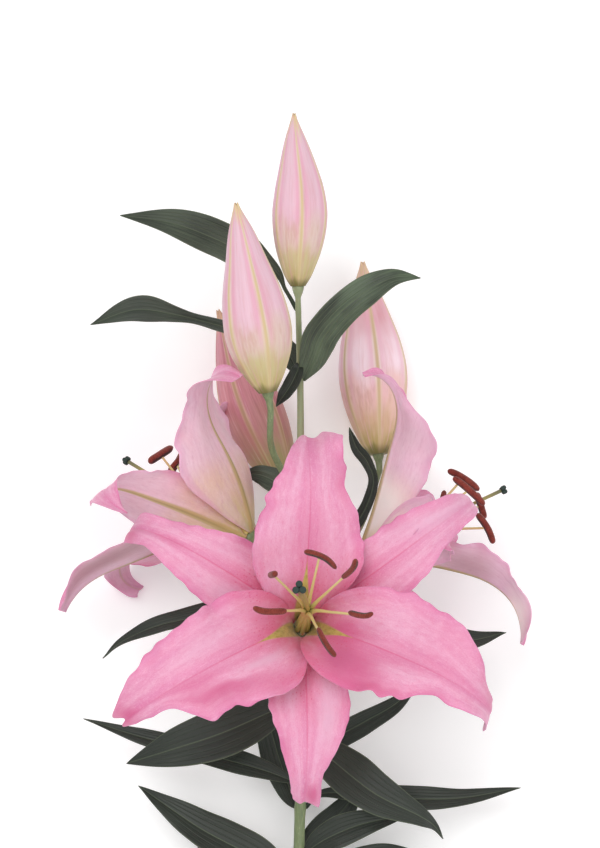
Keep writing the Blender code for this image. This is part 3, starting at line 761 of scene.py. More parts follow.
@dataclass(frozen=True)
class PistilFinish:
    """Ovary, style and stigma: green foot, olive style, and a dark green velvet head of three lobes."""

    name: str = "pistil_olive"
    run: Stops = ((0.0, "C8C070"), (0.22, "C6B869"), (0.5, "B5A45C"), (0.85, "A09456"), (1.0, "6C6B48"))

    def make(self) -> bpy.types.Material:
        """Builds the material: colours by the run, and a grainy relief on the head.

        Returns:
            The material.
        """
        r = Recipe(self.name)
        grains = r.noise(r.coordinates(), 3.0, 0.6, 1500.0)
        head = r.span(r.attribute("sheet")[2], 0.4, 0.6)
        style = r.ramp(r.attribute("shape")[0], self.run)
        colour = r.mix(head, style, r.mix(grains, "24302D", "3A4A43"))
        return r.finish(colour, r.span(head, 0.0, 1.0, 0.42, 0.9), grains, 0.0002)


def dress(made: bpy.types.Object, skin: bpy.types.Material, node: str) -> None:
    """Gives a piece its material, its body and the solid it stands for.

    Args:
        made: the piece.
        skin: its material.
        node: the solid that it replaces.
    """
    made.data.materials.append(skin)
    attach(made, "root")
    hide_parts(node)
    log.info("%s: %d faces", made.name, len(made.data.polygons))


# ---------------------------------------------------------------- the stem


@dataclass(frozen=True)
class Stalk:
    """A flower's or a bud's stalk: where it leaves the stem and passes, and the seat that it ends in."""

    line: tuple[Vec3, ...]
    seat: Vec3
    axis: Vec3
    end_radius: float


@dataclass(frozen=True)
class Stem:
    """The main stem and the stalks that branch from it."""

    line: tuple[Vec3, ...] = (
        (-1.5, 0, 0), (-0.5, 140, 0), (0.8, 190, 0), (0, 300, 0), (0.3, 380, 0),
        (-0.6, 425, 0), (-1.1, 444.5, 0),
    )
    base_radius: float = 3.8
    tip_radius: float = 1.6
    stalk_radius: float = 1.8
    seat_radius: float = 3.6
    cut_slope: float = 0.8
    full_height: float = 450.0
    neck: tuple[Vec3, ...] = ((-1.1, 447.5, 0), (-1.1, 450.9, 0))
    neck_radius: float = 2.8
    seat_steps: Vec3 = (9.0, 4.0, 1.2)
    seat_overlap: float = 0.8
    node_swelling: float = 0.07
    node_length: float = 2.6
    voxel: float = 0.5
    fine_main: tuple[int, int] = (180, 28)  # rings along it and points in each
    fine_stalk: tuple[int, int] = (40, 20)
    coarse_main: tuple[int, int] = (15, 10)  # the plain stem's, which sets where the plant lies
    coarse_stalk: tuple[int, int] = (8, 10)
    stalks: tuple[Stalk, ...] = ()

    def radius(self, height: Array) -> Array:
        """The stem's radius at a height above the cut end."""
        share = np.clip(np.asarray(height, float) / self.full_height, 0, 1)
        return self.base_radius + (self.tip_radius - self.base_radius) * share

    def main_rings(self, stations: int, sides: int) -> Array:
        """The main stem's rings: a slanting cut at the foot, flared under the top bud.

        Args:
            stations: how many rings the long run has.
            sides: how many points a ring has.

        Returns:
            Stations by sides by 3.
        """
        path = np.vstack([curve_through(self.line, stations), self.neck])
        radii = self.radius(path[:, 1])
        radii[-2:] = self.neck_radius, self.seat_radius
        rings = rings_along(path, radii, sides)
        rings[0, :, 1] += self.cut_slope * (rings[0, :, 2] + self.base_radius)
        return rings

    def stalk_rings(self, stalk: Stalk, stations: int, sides: int) -> Array:
        """A stalk's rings: slim, straight along the flower's axis at its end, flared where the flower sits.

        Args:
            stalk: the stalk.
            stations: how many rings its curved run has.
            sides: how many points a ring has.

        Returns:
            Stations by sides by 3.
        """
        seat, axis = np.array(stalk.seat), unit(stalk.axis)
        first, second, third = (seat - step * axis for step in self.seat_steps)
        path = np.vstack([curve_through([*stalk.line, first], stations), second, third, seat])
        radii = self.stalk_radius * np.linspace(1.15, 1, len(path))
        radii[-3:] = 1.15 * self.stalk_radius, 0.88 * stalk.end_radius, stalk.end_radius
        rings = rings_along(path, radii, sides)
        if stations > self.coarse_stalk[0]:
            rings[-1] += self.seat_overlap * axis
        return rings

    def lowest_corner(self, repose: Repose) -> Array:
        """The lowest corner of the coarse stem once it is leaned back, before any shift.

        Args:
            repose: the lean.

        Returns:
            x, y and z in metres.
        """
        branches = [self.stalk_rings(stalk, *self.coarse_stalk) for stalk in self.stalks]
        rings = [self.main_rings(*self.coarse_main), *branches]
        points = np.concatenate([ring.reshape(-1, 3) for ring in rings])
        return (repose.turn(points) * MM).min(axis=0)

    def build(self, repose: Repose, nodes: list[float]) -> None:
        """Makes the fused stem: its tubes remeshed as one skin and smoothed where they branch.

        Args:
            repose: how the plant lies.
            nodes: the heights at which leaves grow, where the stem is a little thicker.
        """
        main = self.main_rings(*self.fine_main)
        heights = main.mean(axis=1)[:, 1]
        swelling = 1 + sum(self.node_swelling * bell(heights, height, self.node_length) for height in nodes)
        middle = main.mean(axis=1, keepdims=True)
        main[1:-3] = (middle + (main - middle) * swelling[:, None, None])[1:-3]
        branches = [loft("stalk", self.stalk_rings(stalk, *self.fine_stalk)) for stalk in self.stalks]
        made = join("lily_stem", [loft("main", main), *branches]).make(repose)
        remesh = made.modifiers.new("one_skin", "REMESH")
        remesh.mode = "VOXEL"
        remesh.voxel_size = self.voxel * MM
        settle = made.modifiers.new("settle", "SMOOTH")
        settle.factor = 0.5
        settle.iterations = 6
        graph = bpy.context.evaluated_depsgraph_get()
        skin = bpy.data.meshes.new_from_object(made.evaluated_get(graph))
        made.modifiers.clear()
        made.data = skin
        skin.shade_smooth()
        dress(made, StemFinish("stem_green_streaked").make(), "stem")


# ---------------------------------------------------------------- leaves


class LeafTone(Enum):
    """How a leaf meets the light: in the shade low down, in the open, or lit through near the top."""

    SHADED = LeafFinish("leaf_shaded", "2B302B", "3B4336", "384135")
    MIDDLE = LeafFinish("leaf_middle", "3D453A", "50594A", "49543F")
    OPEN = LeafFinish("leaf_open", "454E41", "5A654E", "535E4A")
    BRIGHT = LeafFinish("leaf_bright", "566450", "6B7B5C", "65735A")


@dataclass(frozen=True)
class Leaf:
    """A leaf: how high up the stem it grows, its midrib's way to its tip, its width and its tone."""

    height: float
    line: tuple[Vec3, ...]
    width: float
    face: Vec3 = (0.0, 0.3, 1.0)
    tip_face: Vec3 = (0.0, 0.3, 1.0)
    broadest: float = 0.38
    widths: Profile = ()
    fold: float = 14.0
    wave: float = 1.0
    phase: float = 0.0
    tone: LeafTone = LeafTone.SHADED
    thickness: float = 0.7
    root_depth: float = 0.2
    root_half_width: float = 1.3
    crinkle: float = 0.35
    ribbing: float = 0.1
    channel: float = 0.35
    midrib: float = 0.7

    def root(self, stem: Stem) -> Array:
        """The point beside the stem's skin that the leaf grows from, on the side its midrib leaves by."""
        line = np.array(stem.line, float)
        centre = np.array([np.interp(self.height, line[:, 1], line[:, 0]), self.height, 0.0])
        aside = np.array(self.line[0]) - centre
        aside[1] = 0
        return centre + unit(aside) * (stem.radius(self.height) - self.root_depth)

    def half_width(self, share: Array) -> Array:
        """Half width along a lance shape, from a narrow foot to a drawn-out point."""
        if self.widths:
            return eased(self.widths, share)
        skew = math.log(0.5) / math.log(self.broadest)
        body = self.width / 2 * np.maximum(np.sin(math.pi * share**skew), 0) ** 0.95
        return np.maximum(body, self.root_half_width * (1 - share) ** 2) + 0.12

    def piece(self, name: str, stem: Stem, stations: int = 80, columns: int = 31) -> Piece:
        """The leaf's surface: folded along the midrib, margins waved, a channel over the midrib.

        The sheet stands at path(u) + reach(u, v) across + lift(u, v) normal, where reach is v times the half
        width, and lift adds the fold's V, the margin's wave in v times |v| and five soft ribs a side.

        Args:
            name: the piece's name.
            stem: the stem that it grows from.
            stations: how many rows the grid has along the leaf.
            columns: how many columns it has across.

        Returns:
            The closed blade.
        """
        path = curve_through([self.root(stem), *self.line], stations)
        share = np.linspace(0, 1, stations)
        face = unit(np.outer(1 - share, self.face) + np.outer(share, self.tip_face))
        along = tangents(path)
        across = unit(np.cross(along, face))
        normal = np.cross(across, along)
        even = np.linspace(-1, 1, columns)
        lateral = np.sin(np.linspace(-0.5, 0.5, columns) * math.pi) * 0.35 + even * 0.65
        reach = np.outer(self.half_width(share), lateral)
        fold = math.radians(self.fold)
        ripple = np.sin(TURN * 1.6 * share + self.phase) * np.sin(math.pi * share)
        lift = np.abs(reach) * math.sin(fold) + self.wave * np.outer(ripple, lateral * np.abs(lateral))
        crinkle = np.sin(TURN * 4.3 * share + 2 * self.phase + 1) * np.sin(math.pi * share)
        lift += self.crinkle * np.outer(crinkle, np.abs(lateral) ** 3 * np.sign(lateral))
        lift += self.ribbing * np.outer(np.sin(math.pi * share), np.cos(lateral * math.pi * 5))
        lift -= self.channel * bell(reach, 0, 0.9)
        aside = reach[..., None] * across[:, None] * math.cos(fold)
        middle = path[:, None] + aside + lift[..., None] * normal[:, None]
        run = np.concatenate([[0], np.cumsum(np.linalg.norm(np.diff(path, axis=0), axis=1))])
        thin = self.thickness / 2 * (1 - 0.6 * np.abs(lateral) ** 4) * np.ones((stations, 1))
        rib = self.midrib * np.outer((1 - share) ** 0.6, np.ones(columns)) * bell(reach, 0, 0.8)
        sheet = np.stack([reach, run[:, None] * np.ones(columns)], -1)
        along_share, across_share = share[:, None] * np.ones(columns), lateral * np.ones((stations, 1))
        shape = np.stack([along_share, across_share, ripple[:, None] * lateral], -1)
        return blade(name, middle, thin, thin + rib, sheet, shape)


@dataclass(frozen=True)
class Foliage:
    """The leaves, from the top of the stem down."""

    leaves: tuple[Leaf, ...]

    def build(self, stem: Stem, repose: Repose) -> None:
        """Makes each leaf in place of its solid.

        Args:
            stem: the stem that they grow from.
            repose: how the plant lies.
        """
        finishes = {tone: tone.value.make() for tone in LeafTone}
        for number, leaf in enumerate(self.leaves, 1):
            node = f"leaf_{number:02d}"
            dress(leaf.piece(f"lily_{node}", stem).make(repose), finishes[leaf.tone], node)


# ---------------------------------------------------------------- buds


@dataclass(frozen=True)
class Bud:
    """A closed bud: its foot on its stalk, its tip, its greatest radius, its bow and the turn of its ribs."""

    name: str
    foot: Vec3
    tip: Vec3
    radius: float
    bow: Vec3 = (0.0, 0.0, 0.0)
    turn: float = 0.0
    finish: BudFinish | None = None
    profile: Profile = (
        (0, 0.27), (0.05, 0.46), (0.12, 0.64), (0.22, 0.84), (0.32, 0.96), (0.42, 1),
        (0.55, 0.91), (0.7, 0.68), (0.85, 0.4), (0.95, 0.17), (1, 0.06),
    )

    def outline(self, share: Array) -> Array:
        """The radius from foot to tip, at most 1: fullest below the middle and drawn out above."""
        return eased(self.profile, share)

    def ribs(self, angle: Array, station: Array) -> Array:
        """Scales the radius round the bud: a rounded six-sided section with a grooved rib on each side."""
        fullness = np.sin(math.pi * np.clip(station, 0, 1)) ** 0.5
        swing = 3 * (angle - math.radians(self.turn))
        near = np.abs(np.sin(swing))
        raised = np.exp(-((near / 0.2) ** 2)) - 0.55 * np.exp(-((near / 0.07) ** 2))
        seam = 0.012 * np.exp(-(((near - 0.36) / 0.06) ** 2))
        return 1 + fullness * (0.02 * np.cos(swing) + 0.045 * raised - seam)

    def piece(self, stations: int = 90, sides: int = 96) -> Piece:
        """The bud's solid: rings round its bowed axis, its tip parted in three small points.

        Args:
            stations: how many rings it has.
            sides: how many points a ring has.

        Returns:
            The closed solid.
        """
        foot, tip = np.array(self.foot, float), np.array(self.tip, float)
        foot = foot + unit(tip - foot) * SEAT_GAP
        share = 0.5 - 0.5 * np.cos(np.linspace(0, 1, stations) * math.pi)
        path = foot + np.outer(share, tip - foot) + np.outer(np.sin(math.pi * share) ** 2, self.bow)
        rings = rings_along(path, self.radius * self.outline(share), sides, self.ribs)
        angle = np.arange(sides) * TURN / sides - math.radians(self.turn)
        points = 1.1 * np.outer(smooth((share - 0.965) / 0.035), np.cos(3 * angle))
        rings = rings + points[..., None] * unit(tip - foot)
        piece = loft("lily_" + self.name, rings)
        piece.shape[:-2, 0] = np.repeat(share, sides)
        return piece

    def build(self, repose: Repose) -> None:
        """Makes the bud in place of its solid."""
        skin = self.finish or BudFinish(self.name + "_skin", self.turn)
        dress(self.piece().make(repose), skin.make(), self.name)


# ---------------------------------------------------------------- blooms


class Whorl(Enum):
    """A tepal's ring: the three broad petals inside, or the three narrow sepals outside."""

    PETAL = "petal"
    SEPAL = "sepal"


@dataclass(frozen=True)
class Fold:
    """A soft dent or patch: its place and spread in share of length and of half width, and its lift.

    As a patch of painted light, a lift of 1 paints the skin paler, a painted highlight, and -1 paints it
    deeper, painted shade.
    """

    along: float
    across: float
    long: float
    wide: float
    lift: float

    def over(self, share: Array, lateral: Array) -> Array:
        """Its lift over a grid: one bell curve along the petal times one across it."""
        return self.lift * bell(share[:, None], self.along, self.long) * bell(lateral[None], self.across,
            self.wide)


@dataclass(frozen=True)
class Tepal:
    """A petal or sepal, by its place round the flower and how it opens, in degrees and millimetres.

    less and more are the half widths along it on the side of lesser and of greater azimuth, drift its
    midrib's shift to the side, crown how far its end reaches at each place across, and tuck how far each
    half turns towards its inner face.
    """

    azimuth: float
    length: float = 128.0
    width: float = 57.0
    root_flare: float = 16.0
    flare: float = 74.0
    recurve: float = 68.0
    curl_from: float = 0.42
    broadest: float = 0.46
    taper: float = 1.0
    twist: float = 0.0
    sway: float = 0.0
    ruffle: float = 3.6
    phase: float = 0.0
    whorl: Whorl = Whorl.PETAL
    less: Profile = ()
    more: Profile = ()
    drift: Profile = ()
    crown: Profile = ()
    tuck: tuple[float, float] = (0.0, 0.0)
    folds: tuple[Fold, ...] = ()
    painted_light_patches: tuple[Fold, ...] = ()
    frill: float = 1.0
    frills: float = 6.0
    thickness: float = 0.7
    inner_root_radius: float = 4.2
    outer_root_radius: float = 5.2
    root_half_width: float = 2.1
    sixth_share: float = 0.98
    scallop: float = 0.034
    edge_rise: float = 1.3
    plait: float = 0.15
    channel: float = 0.8
    rib: float = 1.1

    def midrib(self, share: Array) -> tuple[Array, Array, Array]:
        """The midrib in the flower's half plane: it turns from the throat to the open flare, then curls.

        Args:
            share: places along the petal.

        Returns:
            The radius from the axis, the height up it and the angle to it.
        """
        fine = np.linspace(0, 1, 241)
        petal = self.whorl is Whorl.PETAL
        opening = smooth(fine / (0.5 if petal else 0.44))
        curl = np.clip((fine - self.curl_from) / (1 - self.curl_from), 0, 1) ** 1.4
        slope = np.radians(self.root_flare + (self.flare - self.root_flare) * opening + self.recurve * curl)
        step = self.length / (len(fine) - 1)
        root = self.inner_root_radius if petal else self.outer_root_radius
        outward, upward = np.sin(slope), np.cos(slope)
        radius = root + np.concatenate([[0], np.cumsum((outward[1:] + outward[:-1]) / 2)]) * step
        height = SEAT_GAP + np.concatenate([[0], np.cumsum((upward[1:] + upward[:-1]) / 2)]) * step
        return tuple(np.interp(share, fine, values) for values in (radius, height, slope))

    def half_widths(self, share: Array, radius: Array) -> tuple[Array, Array]:
        """Half widths to either side: a narrow claw, broadest midway, a short point, scalloped a little.

        Args:
            share: places along the petal.
            radius: the midrib's distance from the flower's axis there.

        Returns:
            The half widths on the side of lesser and of greater azimuth.
        """
        skew = math.log(0.5) / math.log(self.broadest)
        body = self.width / 2 * np.maximum(np.sin(math.pi * share**skew), 0) ** self.taper
        claw = self.root_half_width * (1 - share) ** 3
        limit = self.sixth_share * math.pi / 3 * radius
        sides = []
        for profile, start in ((self.less, 0.0), (self.more, 2.4)):
            wide = eased(profile, share) if profile else body
            slip = 0.22 * np.sin(TURN * 2.1 * share + 2 * self.phase + start)
            swell = 0.7 + 0.5 * np.sin(TURN * 1.7 * share + 3 * self.phase)
            beat = np.sin(TURN * self.frills * (share + slip / 2) + self.phase + start) * swell
            beat += 0.3 * np.sin(TURN * 2.3 * self.frills * share + 2 * start)
            scallop = 1 + self.scallop * self.frill * smooth((share - 0.3) / 0.2) * beat
            wide = np.maximum(wide * scallop, claw)
            sides.append((wide if profile else np.minimum(wide, limit)) + 0.5 * share**6)
        return sides[0], sides[1]

    def waves(self, share: Array, lateral: Array) -> Array:
        """How far the blade stands off its smooth form: broad waves and fine frills that grow to the margin.

        Args:
            share: places along the petal, a column.
            lateral: places across it from -1 to 1, a row.

        Returns:
            The lift in millimetres on the grid.
        """
        strength = self.ruffle * smooth((share - 0.22) / 0.35) * (1 - 0.35 * share**4)
        broad = np.where(
            lateral > 0,
            np.sin(TURN * 2.6 * share + self.phase),
            np.sin(TURN * 2.9 * share + self.phase + 2.1),
        )
        one = np.sin(TURN * self.frills * share + 2.3 * self.phase + 2.1 * np.sin(5 * share))
        one = one * (0.7 + 0.5 * np.cos(9 * share + self.phase))
        other = np.sin(TURN * self.frills * 1.12 * share + 1.7 * self.phase + 0.8 + 1.9 * np.sin(4 * share))
        other = other * (0.7 + 0.5 * np.sin(8 * share + 2 * self.phase))
        fine = np.where(lateral > 0, one, other)
        frills = self.edge_rise * self.frill * smooth((share - 0.3) / 0.25) * fine * np.abs(lateral) ** 5
        return strength * broad * np.abs(lateral) ** 2.5 + frills

    def piece(self, name: str, bloom: Bloom, stations: int = 110, columns: int = 45) -> Piece:
        """The petal's surface: a trough in the throat, opening out, channelled along its midrib.

        The sheet stands at spine(u) + sideways(u, v) across + lift(u, v) facing. Near the throat sideways
        and lift follow an arc round the flower's axis; lift adds the waves, the folds and the plaits.

        Args:
            name: the piece's name.
            bloom: the flower that it grows in.
            stations: how many rows the grid has along the petal.
            columns: how many columns it has across.

        Returns:
            The closed blade, its front the inner face.
        """
        right, up, out = bloom.axes()
        turn = math.radians(self.azimuth)
        outward = right * math.cos(turn) + up * math.sin(turn)
        around = up * math.cos(turn) - right * math.sin(turn)
        share = np.linspace(0, 1, stations)
        radius, height, slope = self.midrib(share)
        aside = self.sway * share**3 + (eased(self.drift, share) if self.drift else 0)
        spine = np.array(bloom.place) + np.outer(radius, outward) + np.outer(height, out)
        spine = spine + np.outer(aside, around)
        normal = np.outer(np.sin(slope), out) - np.outer(np.cos(slope), outward)
        roll = np.radians(self.twist) * smooth((share - 0.2) / 0.8)[:, None]
        across = around * np.cos(roll) + normal * np.sin(roll)
        facing = normal * np.cos(roll) - around * np.sin(roll)

        lateral = np.linspace(-1, 1, columns)
        lateral = 0.75 * lateral + 0.25 * np.sign(lateral) * np.abs(lateral) ** 0.5
        less, more = self.half_widths(share, radius)
        reach = np.where(lateral[None] > 0, np.outer(more, lateral), np.outer(less, lateral))
        bend = (np.maximum(np.cos(slope), 0) / radius * (1 - smooth(share / 0.7)) + 0.004)[:, None]
        low, high = np.radians(self.tuck)
        tuck = np.where(lateral > 0, high, low) * smooth(share / 0.35)[:, None]
        sideways = np.sin(bend * reach) / bend * np.cos(tuck)
        waves = self.waves(share[:, None], lateral[None])
        lift = (1 - np.cos(bend * reach)) / bend + waves + (np.hypot(reach, 1.5) - 1.5) * np.sin(tuck)
        for fold in self.folds:
            lift += fold.over(share, lateral)
        open_part = smooth((share - 0.12) / 0.25)[:, None]
        lift += self.plait * open_part * np.cos(lateral * TURN * 1.25) * (1 - share[:, None])
        lift -= self.channel * open_part * bell(reach, 0, 1.3) * (1 - 0.5 * share[:, None])
        middle = spine[:, None] + sideways[..., None] * across[:, None] + lift[..., None] * facing[:, None]
        if self.crown:
            ends = smooth((share - 0.82) / 0.18)[:, None] * eased(self.crown, lateral)[None]
            onward = np.outer(np.sin(slope), outward) + np.outer(np.cos(slope), out)
            middle += ends[..., None] * onward[:, None]
        run = share * self.length
        thin = self.thickness / 2 * (1 - 0.6 * np.abs(lateral) ** 3) * np.ones((stations, 1))
        rib = self.rib * (1 - share[:, None]) ** 0.7 * bell(reach, 0, 1.5) * smooth(share / 0.06)[:, None]
        sheet = np.stack([reach, run[:, None] * np.ones(columns)], -1)
        shape = np.stack([share[:, None] * np.ones(columns), lateral * np.ones((stations, 1)), waves], -1)
        made = blade(name, middle, thin, thin + rib, sheet, shape, mirrored=True)
        # patches of painted light and shade, summed over the grid
        painted_light = np.zeros((stations, columns))
        for tone in self.painted_light_patches:
            painted_light += tone.over(share, lateral)
        made.painted_light = np.tile(painted_light[:, ::-1].ravel(), 2)
        return made


@dataclass(frozen=True)
class Stamen:
    """A filament's azimuth on the crown, its end (right, up, out from the foot), and how its anther lies.

    The anther's two ends fall back by bend, and its forward end turns aside by hook, in millimetres. seam is
    the side (right, up, out) along which it hangs.
    """

    azimuth: float
    end: Vec3
    anther: Vec3
    length: float = 18.0
    bend: Vec3 = (0.0, 0.0, 1.5)
    hook: Vec3 = (0.0, 0.0, 0.0)
    thickness: float = 3.5
    seam: Vec3 = (0.0, 0.0, -1.0)
    crown_radius: float = 3.0
    bundle_radius: float = 2.2
    taper: Profile = ((0, 1.4), (0.4, 1.3), (0.6, 0.85), (1, 0.62))

    def filament_line(self, bloom: Bloom, count: int = 40) -> Array:
        """The filament's points: up from the crown beside the style, then leaning away.

        Args:
            bloom: the flower that it grows in.
            count: how many points are wanted.

        Returns:
            The points, one a row.
        """
        turn = math.radians(self.azimuth)
        ring = np.array([math.cos(turn), math.sin(turn), 0.0])
        root = self.crown_radius * ring + (0, 0, SEAT_GAP + 1.2)
        bundle, end = np.array(bloom.bundle) + self.bundle_radius * ring, np.array(self.end)
        swing = bundle + 0.5 * (end - bundle) + np.array([-0.05, -0.05, 0.06]) * (end - bundle)
        local = curve_through([root, bundle, swing, end], count)
        return np.array(bloom.place) + local @ np.array(bloom.axes())

    def filament(self, bloom: Bloom) -> Piece:
        """The filament: a tapered thread."""
        line = self.filament_line(bloom)
        radii = eased(self.taper, np.linspace(0, 1, len(line)))
        return loft("filament", rings_along(line, radii, 12))

    def anther_piece(self, bloom: Bloom) -> Piece:
        """The anther: an arched two-lobed bar, blunt at its ends, with a dark seam beneath.

        Args:
            bloom: the flower that it grows in.

        Returns:
            The closed solid, with 1 in the third value of sheet along the seam.
        """
        centre = self.filament_line(bloom)[-1]
        share = np.linspace(-0.5, 0.5, ANTHER_STATIONS)
        line = centre + np.outer(share * self.length, unit(self.anther))
        line -= np.outer((2 * share) ** 2, self.bend)
        line += np.outer(np.maximum(2 * share, 0) ** 3, self.hook)
        ends = np.maximum(1 - np.abs(2 * share) ** 7, 0.0) ** 0.5
        angle = np.arange(ANTHER_SIDES) * TURN / ANTHER_SIDES
        rings = rings_along(line, self.thickness / 2 * np.maximum(ends, 0.02), ANTHER_SIDES)
        waist = rings[ANTHER_STATIONS // 2]
        towards = -(unit(waist - waist.mean(axis=0)) @ unit(np.array(self.seam) @ np.array(bloom.axes())))
        lobes = 1 - 0.16 * bell(towards, 1.0, 0.12) - 0.22 * bell(towards, -1.0, 0.25)
        middle = rings.mean(axis=1, keepdims=True)
        rows = share[:, None]
        grains = 1 + 0.03 * np.sin(7 * angle + 31 * rows * 2) * np.sin(11 * angle - 47 * rows)
        rings = middle + (rings - middle) * (lobes[None] * grains)[..., None]
        piece = loft("anther", rings)
        seam = bell(towards, -1.0, 0.2)[None] * (1 - np.abs(2 * share[:, None]) ** 4)
        piece.sheet[:-2, 2] = np.clip(seam, 0, 1).ravel()
        return piece


@dataclass(frozen=True)
class Bloom:
    """An open flower: its receptacle's place, the way it looks, its petals, stamens and style."""

    name: str
    place: Vec3
    looks: Vec3
    tepals: tuple[Tepal, ...]
    stamens: tuple[Stamen, ...]
    style_tip: Vec3
    finish: TepalFinish
    ovary_radius: float = 2.1
    ovary_length: float = 20.0
    style_radius: float = 1.6
    stigma_radius: float = 2.6
    stigma_height: float = 3.4
    stigma_turn: float = 0.4
    bundle: Vec3 = (0.0, 0.0, 30.0)

    def axes(self) -> tuple[Array, Array, Array]:
        """(right, up, out) of the flower: out is the way it looks, and up leans up the stem."""
        out = unit(self.looks)
        up = unit(np.array([0.0, 1.0, 0.0]) - out[1] * out)
        return np.cross(up, out), up, out

    def pistil(self) -> Piece:
        """Ovary, style and stigma: one turned body along a slightly bent line, three-lobed at its head.

        Returns:
            The closed solid.
        """
        right, up, out = self.axes()
        place = np.array(self.place)
        foot = place + out * SEAT_GAP
        tip = place + right * self.style_tip[0] + up * self.style_tip[1] + out * self.style_tip[2]
        bend = place + np.array(self.bundle) @ np.array(self.axes())
        line = curve_through([foot, bend, tip], PISTIL_STATIONS)
        length = self.style_tip[2]
        at = np.linspace(0, length, PISTIL_STATIONS)
        radii = eased(
            (
                (0.0, self.ovary_radius * 0.9),
                (0.4 * self.ovary_length, self.ovary_radius),
                (0.9 * self.ovary_length, self.ovary_radius),
                (1.2 * self.ovary_length, self.style_radius),
                (0.7 * length, self.style_radius),
                (length, self.style_radius * 1.2),
            ),
            at,
        )

        def ribs(angle: Array, station: Array) -> Array:
            """Six faint ribs down the ovary, three up the style."""
            low = 1 - smooth((station * length - 0.9 * self.ovary_length) / 4)
            return 1 + 0.05 * low * np.cos(6 * angle) + 0.04 * (1 - low) * np.cos(3 * angle)

        parts = [loft("style", rings_along(line[:-6], radii[:-6], 30, ribs))]
        head = unit(tip - bend)
        side = unit(np.cross(head, right + 0.3 * up))
        for turn in np.arange(3) * TURN / 3 + self.stigma_turn:
            reach = side * math.cos(turn) + np.cross(head, side) * math.sin(turn)
            rise = np.linspace(-0.5, 0.5, 22)
            middle = tip + 0.54 * self.stigma_radius * reach
            core = middle + np.outer(rise * self.stigma_height, head) - 0.5 * self.stigma_height * head
            plump = 0.48 * self.stigma_radius * np.sqrt(np.maximum(1 - (2 * rise) ** 4, 0.002))
            lobe = loft("lobe", rings_along(core, plump, 20))
            lobe.sheet[:, 2] = 1.0
            parts.append(lobe)
        return join(f"{self.name}_pistil_fine", parts)

    def build(self, repose: Repose) -> None:
        """Makes the flower's pieces in place of its solids.

        Args:
            repose: how the plant lies.
        """
        skins = {Whorl.PETAL: self.finish.make()}
        skins[Whorl.SEPAL] = replace(self.finish, name=self.finish.name + "_sepal", furrow=0.0).make()
        counts = dict.fromkeys(Whorl, 0)
        for tepal in self.tepals:
            counts[tepal.whorl] += 1
            node = f"{self.name}_{tepal.whorl.value}_{counts[tepal.whorl]}"
            dress(tepal.piece(node + "_fine", self).make(repose), skins[tepal.whorl], node)
        threads = join(f"{self.name}_filaments", [stamen.filament(self) for stamen in self.stamens])
        anthers = join(f"{self.name}_anthers", [stamen.anther_piece(self) for stamen in self.stamens])
        dress(threads.make(repose), FilamentFinish().make(), f"{self.name}_stamens")
        dress(anthers.make(repose), PollenFinish().make(), f"{self.name}_stamens")
        dress(self.pistil().make(repose), PistilFinish().make(), f"{self.name}_pistil")


# ---------------------------------------------------------------- the studio


@dataclass(frozen=True)
class Lamp:
    """An area light: where it hangs in the growing frame, its size in metres and its power in watts."""

    name: str
    place: Vec3
    size: float
    power: float


@dataclass(frozen=True)
class Studio:
    """A pale floor, soft lights and a camera that looks down on the plant, square to its stem."""

    eye: Vec3 = (0.0, 375.0, 1800.0)
    view_height: float = 466.4  # millimetres of the stem's plane that the frame's height spans
    floor_size: float = 12.0
    floor_colour: str = "FEFEFE"
    floor_glow: float = 0.12
    sky: float = 0.62
    lamps: tuple[Lamp, ...] = (
        Lamp("key", (-700.0, 1300.0, 2600.0), 1.8, 36.0),
        Lamp("fill", (1100.0, -300.0, 2200.0), 1.8, 17.0),
    )

    def build(self, repose: Repose) -> None:
        """Makes the floor, the lights and the camera.

        Args:
            repose: how the plant lies, which the camera leans with.
        """
        scene = bpy.context.scene
        side = self.floor_size / 2
        corners = [(-side, -side, 0), (side, -side, 0), (side, side, 0), (-side, side, 0)]
        mesh = bpy.data.meshes.new("floor")
        mesh.from_pydata(corners, [], [(0, 1, 2, 3)])
        floor = bpy.data.objects.new("floor", mesh)
        scene.collection.objects.link(floor)
        skin = Recipe("pale_floor").finish(
            self.floor_colour, 0.9, Emission_Color=(1.0, 1.0, 1.0, 1.0), Emission_Strength=self.floor_glow
        )
        mesh.materials.append(skin)
        world = bpy.data.worlds.new("soft_sky")
        world.use_nodes = True
        world.node_tree.nodes["Background"].inputs[0].default_value = (1.0, 1.0, 1.0, 1.0)
        world.node_tree.nodes["Background"].inputs[1].default_value = self.sky
        scene.world = world
        aim = repose.place(np.array([0.0, self.eye[1], 0.0]))
        for lamp in self.lamps:
            light = bpy.data.lights.new(lamp.name, "AREA")
            light.shape = "DISK"
            light.size = lamp.size
            light.energy = lamp.power
            self.point(bpy.data.objects.new(lamp.name, light), repose.place(lamp.place), aim, repose)
        camera = bpy.data.cameras.new("camera")
        camera.sensor_fit = "VERTICAL"
        camera.sensor_height = 24.0
        camera.lens = 24.0 * self.eye[2] / self.view_height
        eye = bpy.data.objects.new("camera", camera)
        self.point(eye, repose.place(self.eye), aim, repose)
        scene.camera = eye
        scene.view_settings.view_transform = "Standard"

    def point(self, made: bpy.types.Object, place: Array, aim: Array, repose: Repose) -> None:
        """Puts a light or the camera at a place, looking at a point, its top up the stem.

        Args:
            made: the object.
            place: where it goes, in metres.
            aim: what it looks at, in metres.
            repose: how the plant lies.
        """
        back = unit(place - aim)
        right = unit(np.cross(repose.turn((0.0, 1.0, 0.0)), back))
        matrix = np.eye(4)
        matrix[:3] = np.column_stack([right, np.cross(back, right), back, place])
        made.matrix_world = Matrix([list(row) for row in matrix])
        bpy.context.scene.collection.objects.link(made)


# ---------------------------------------------------------------- this lily


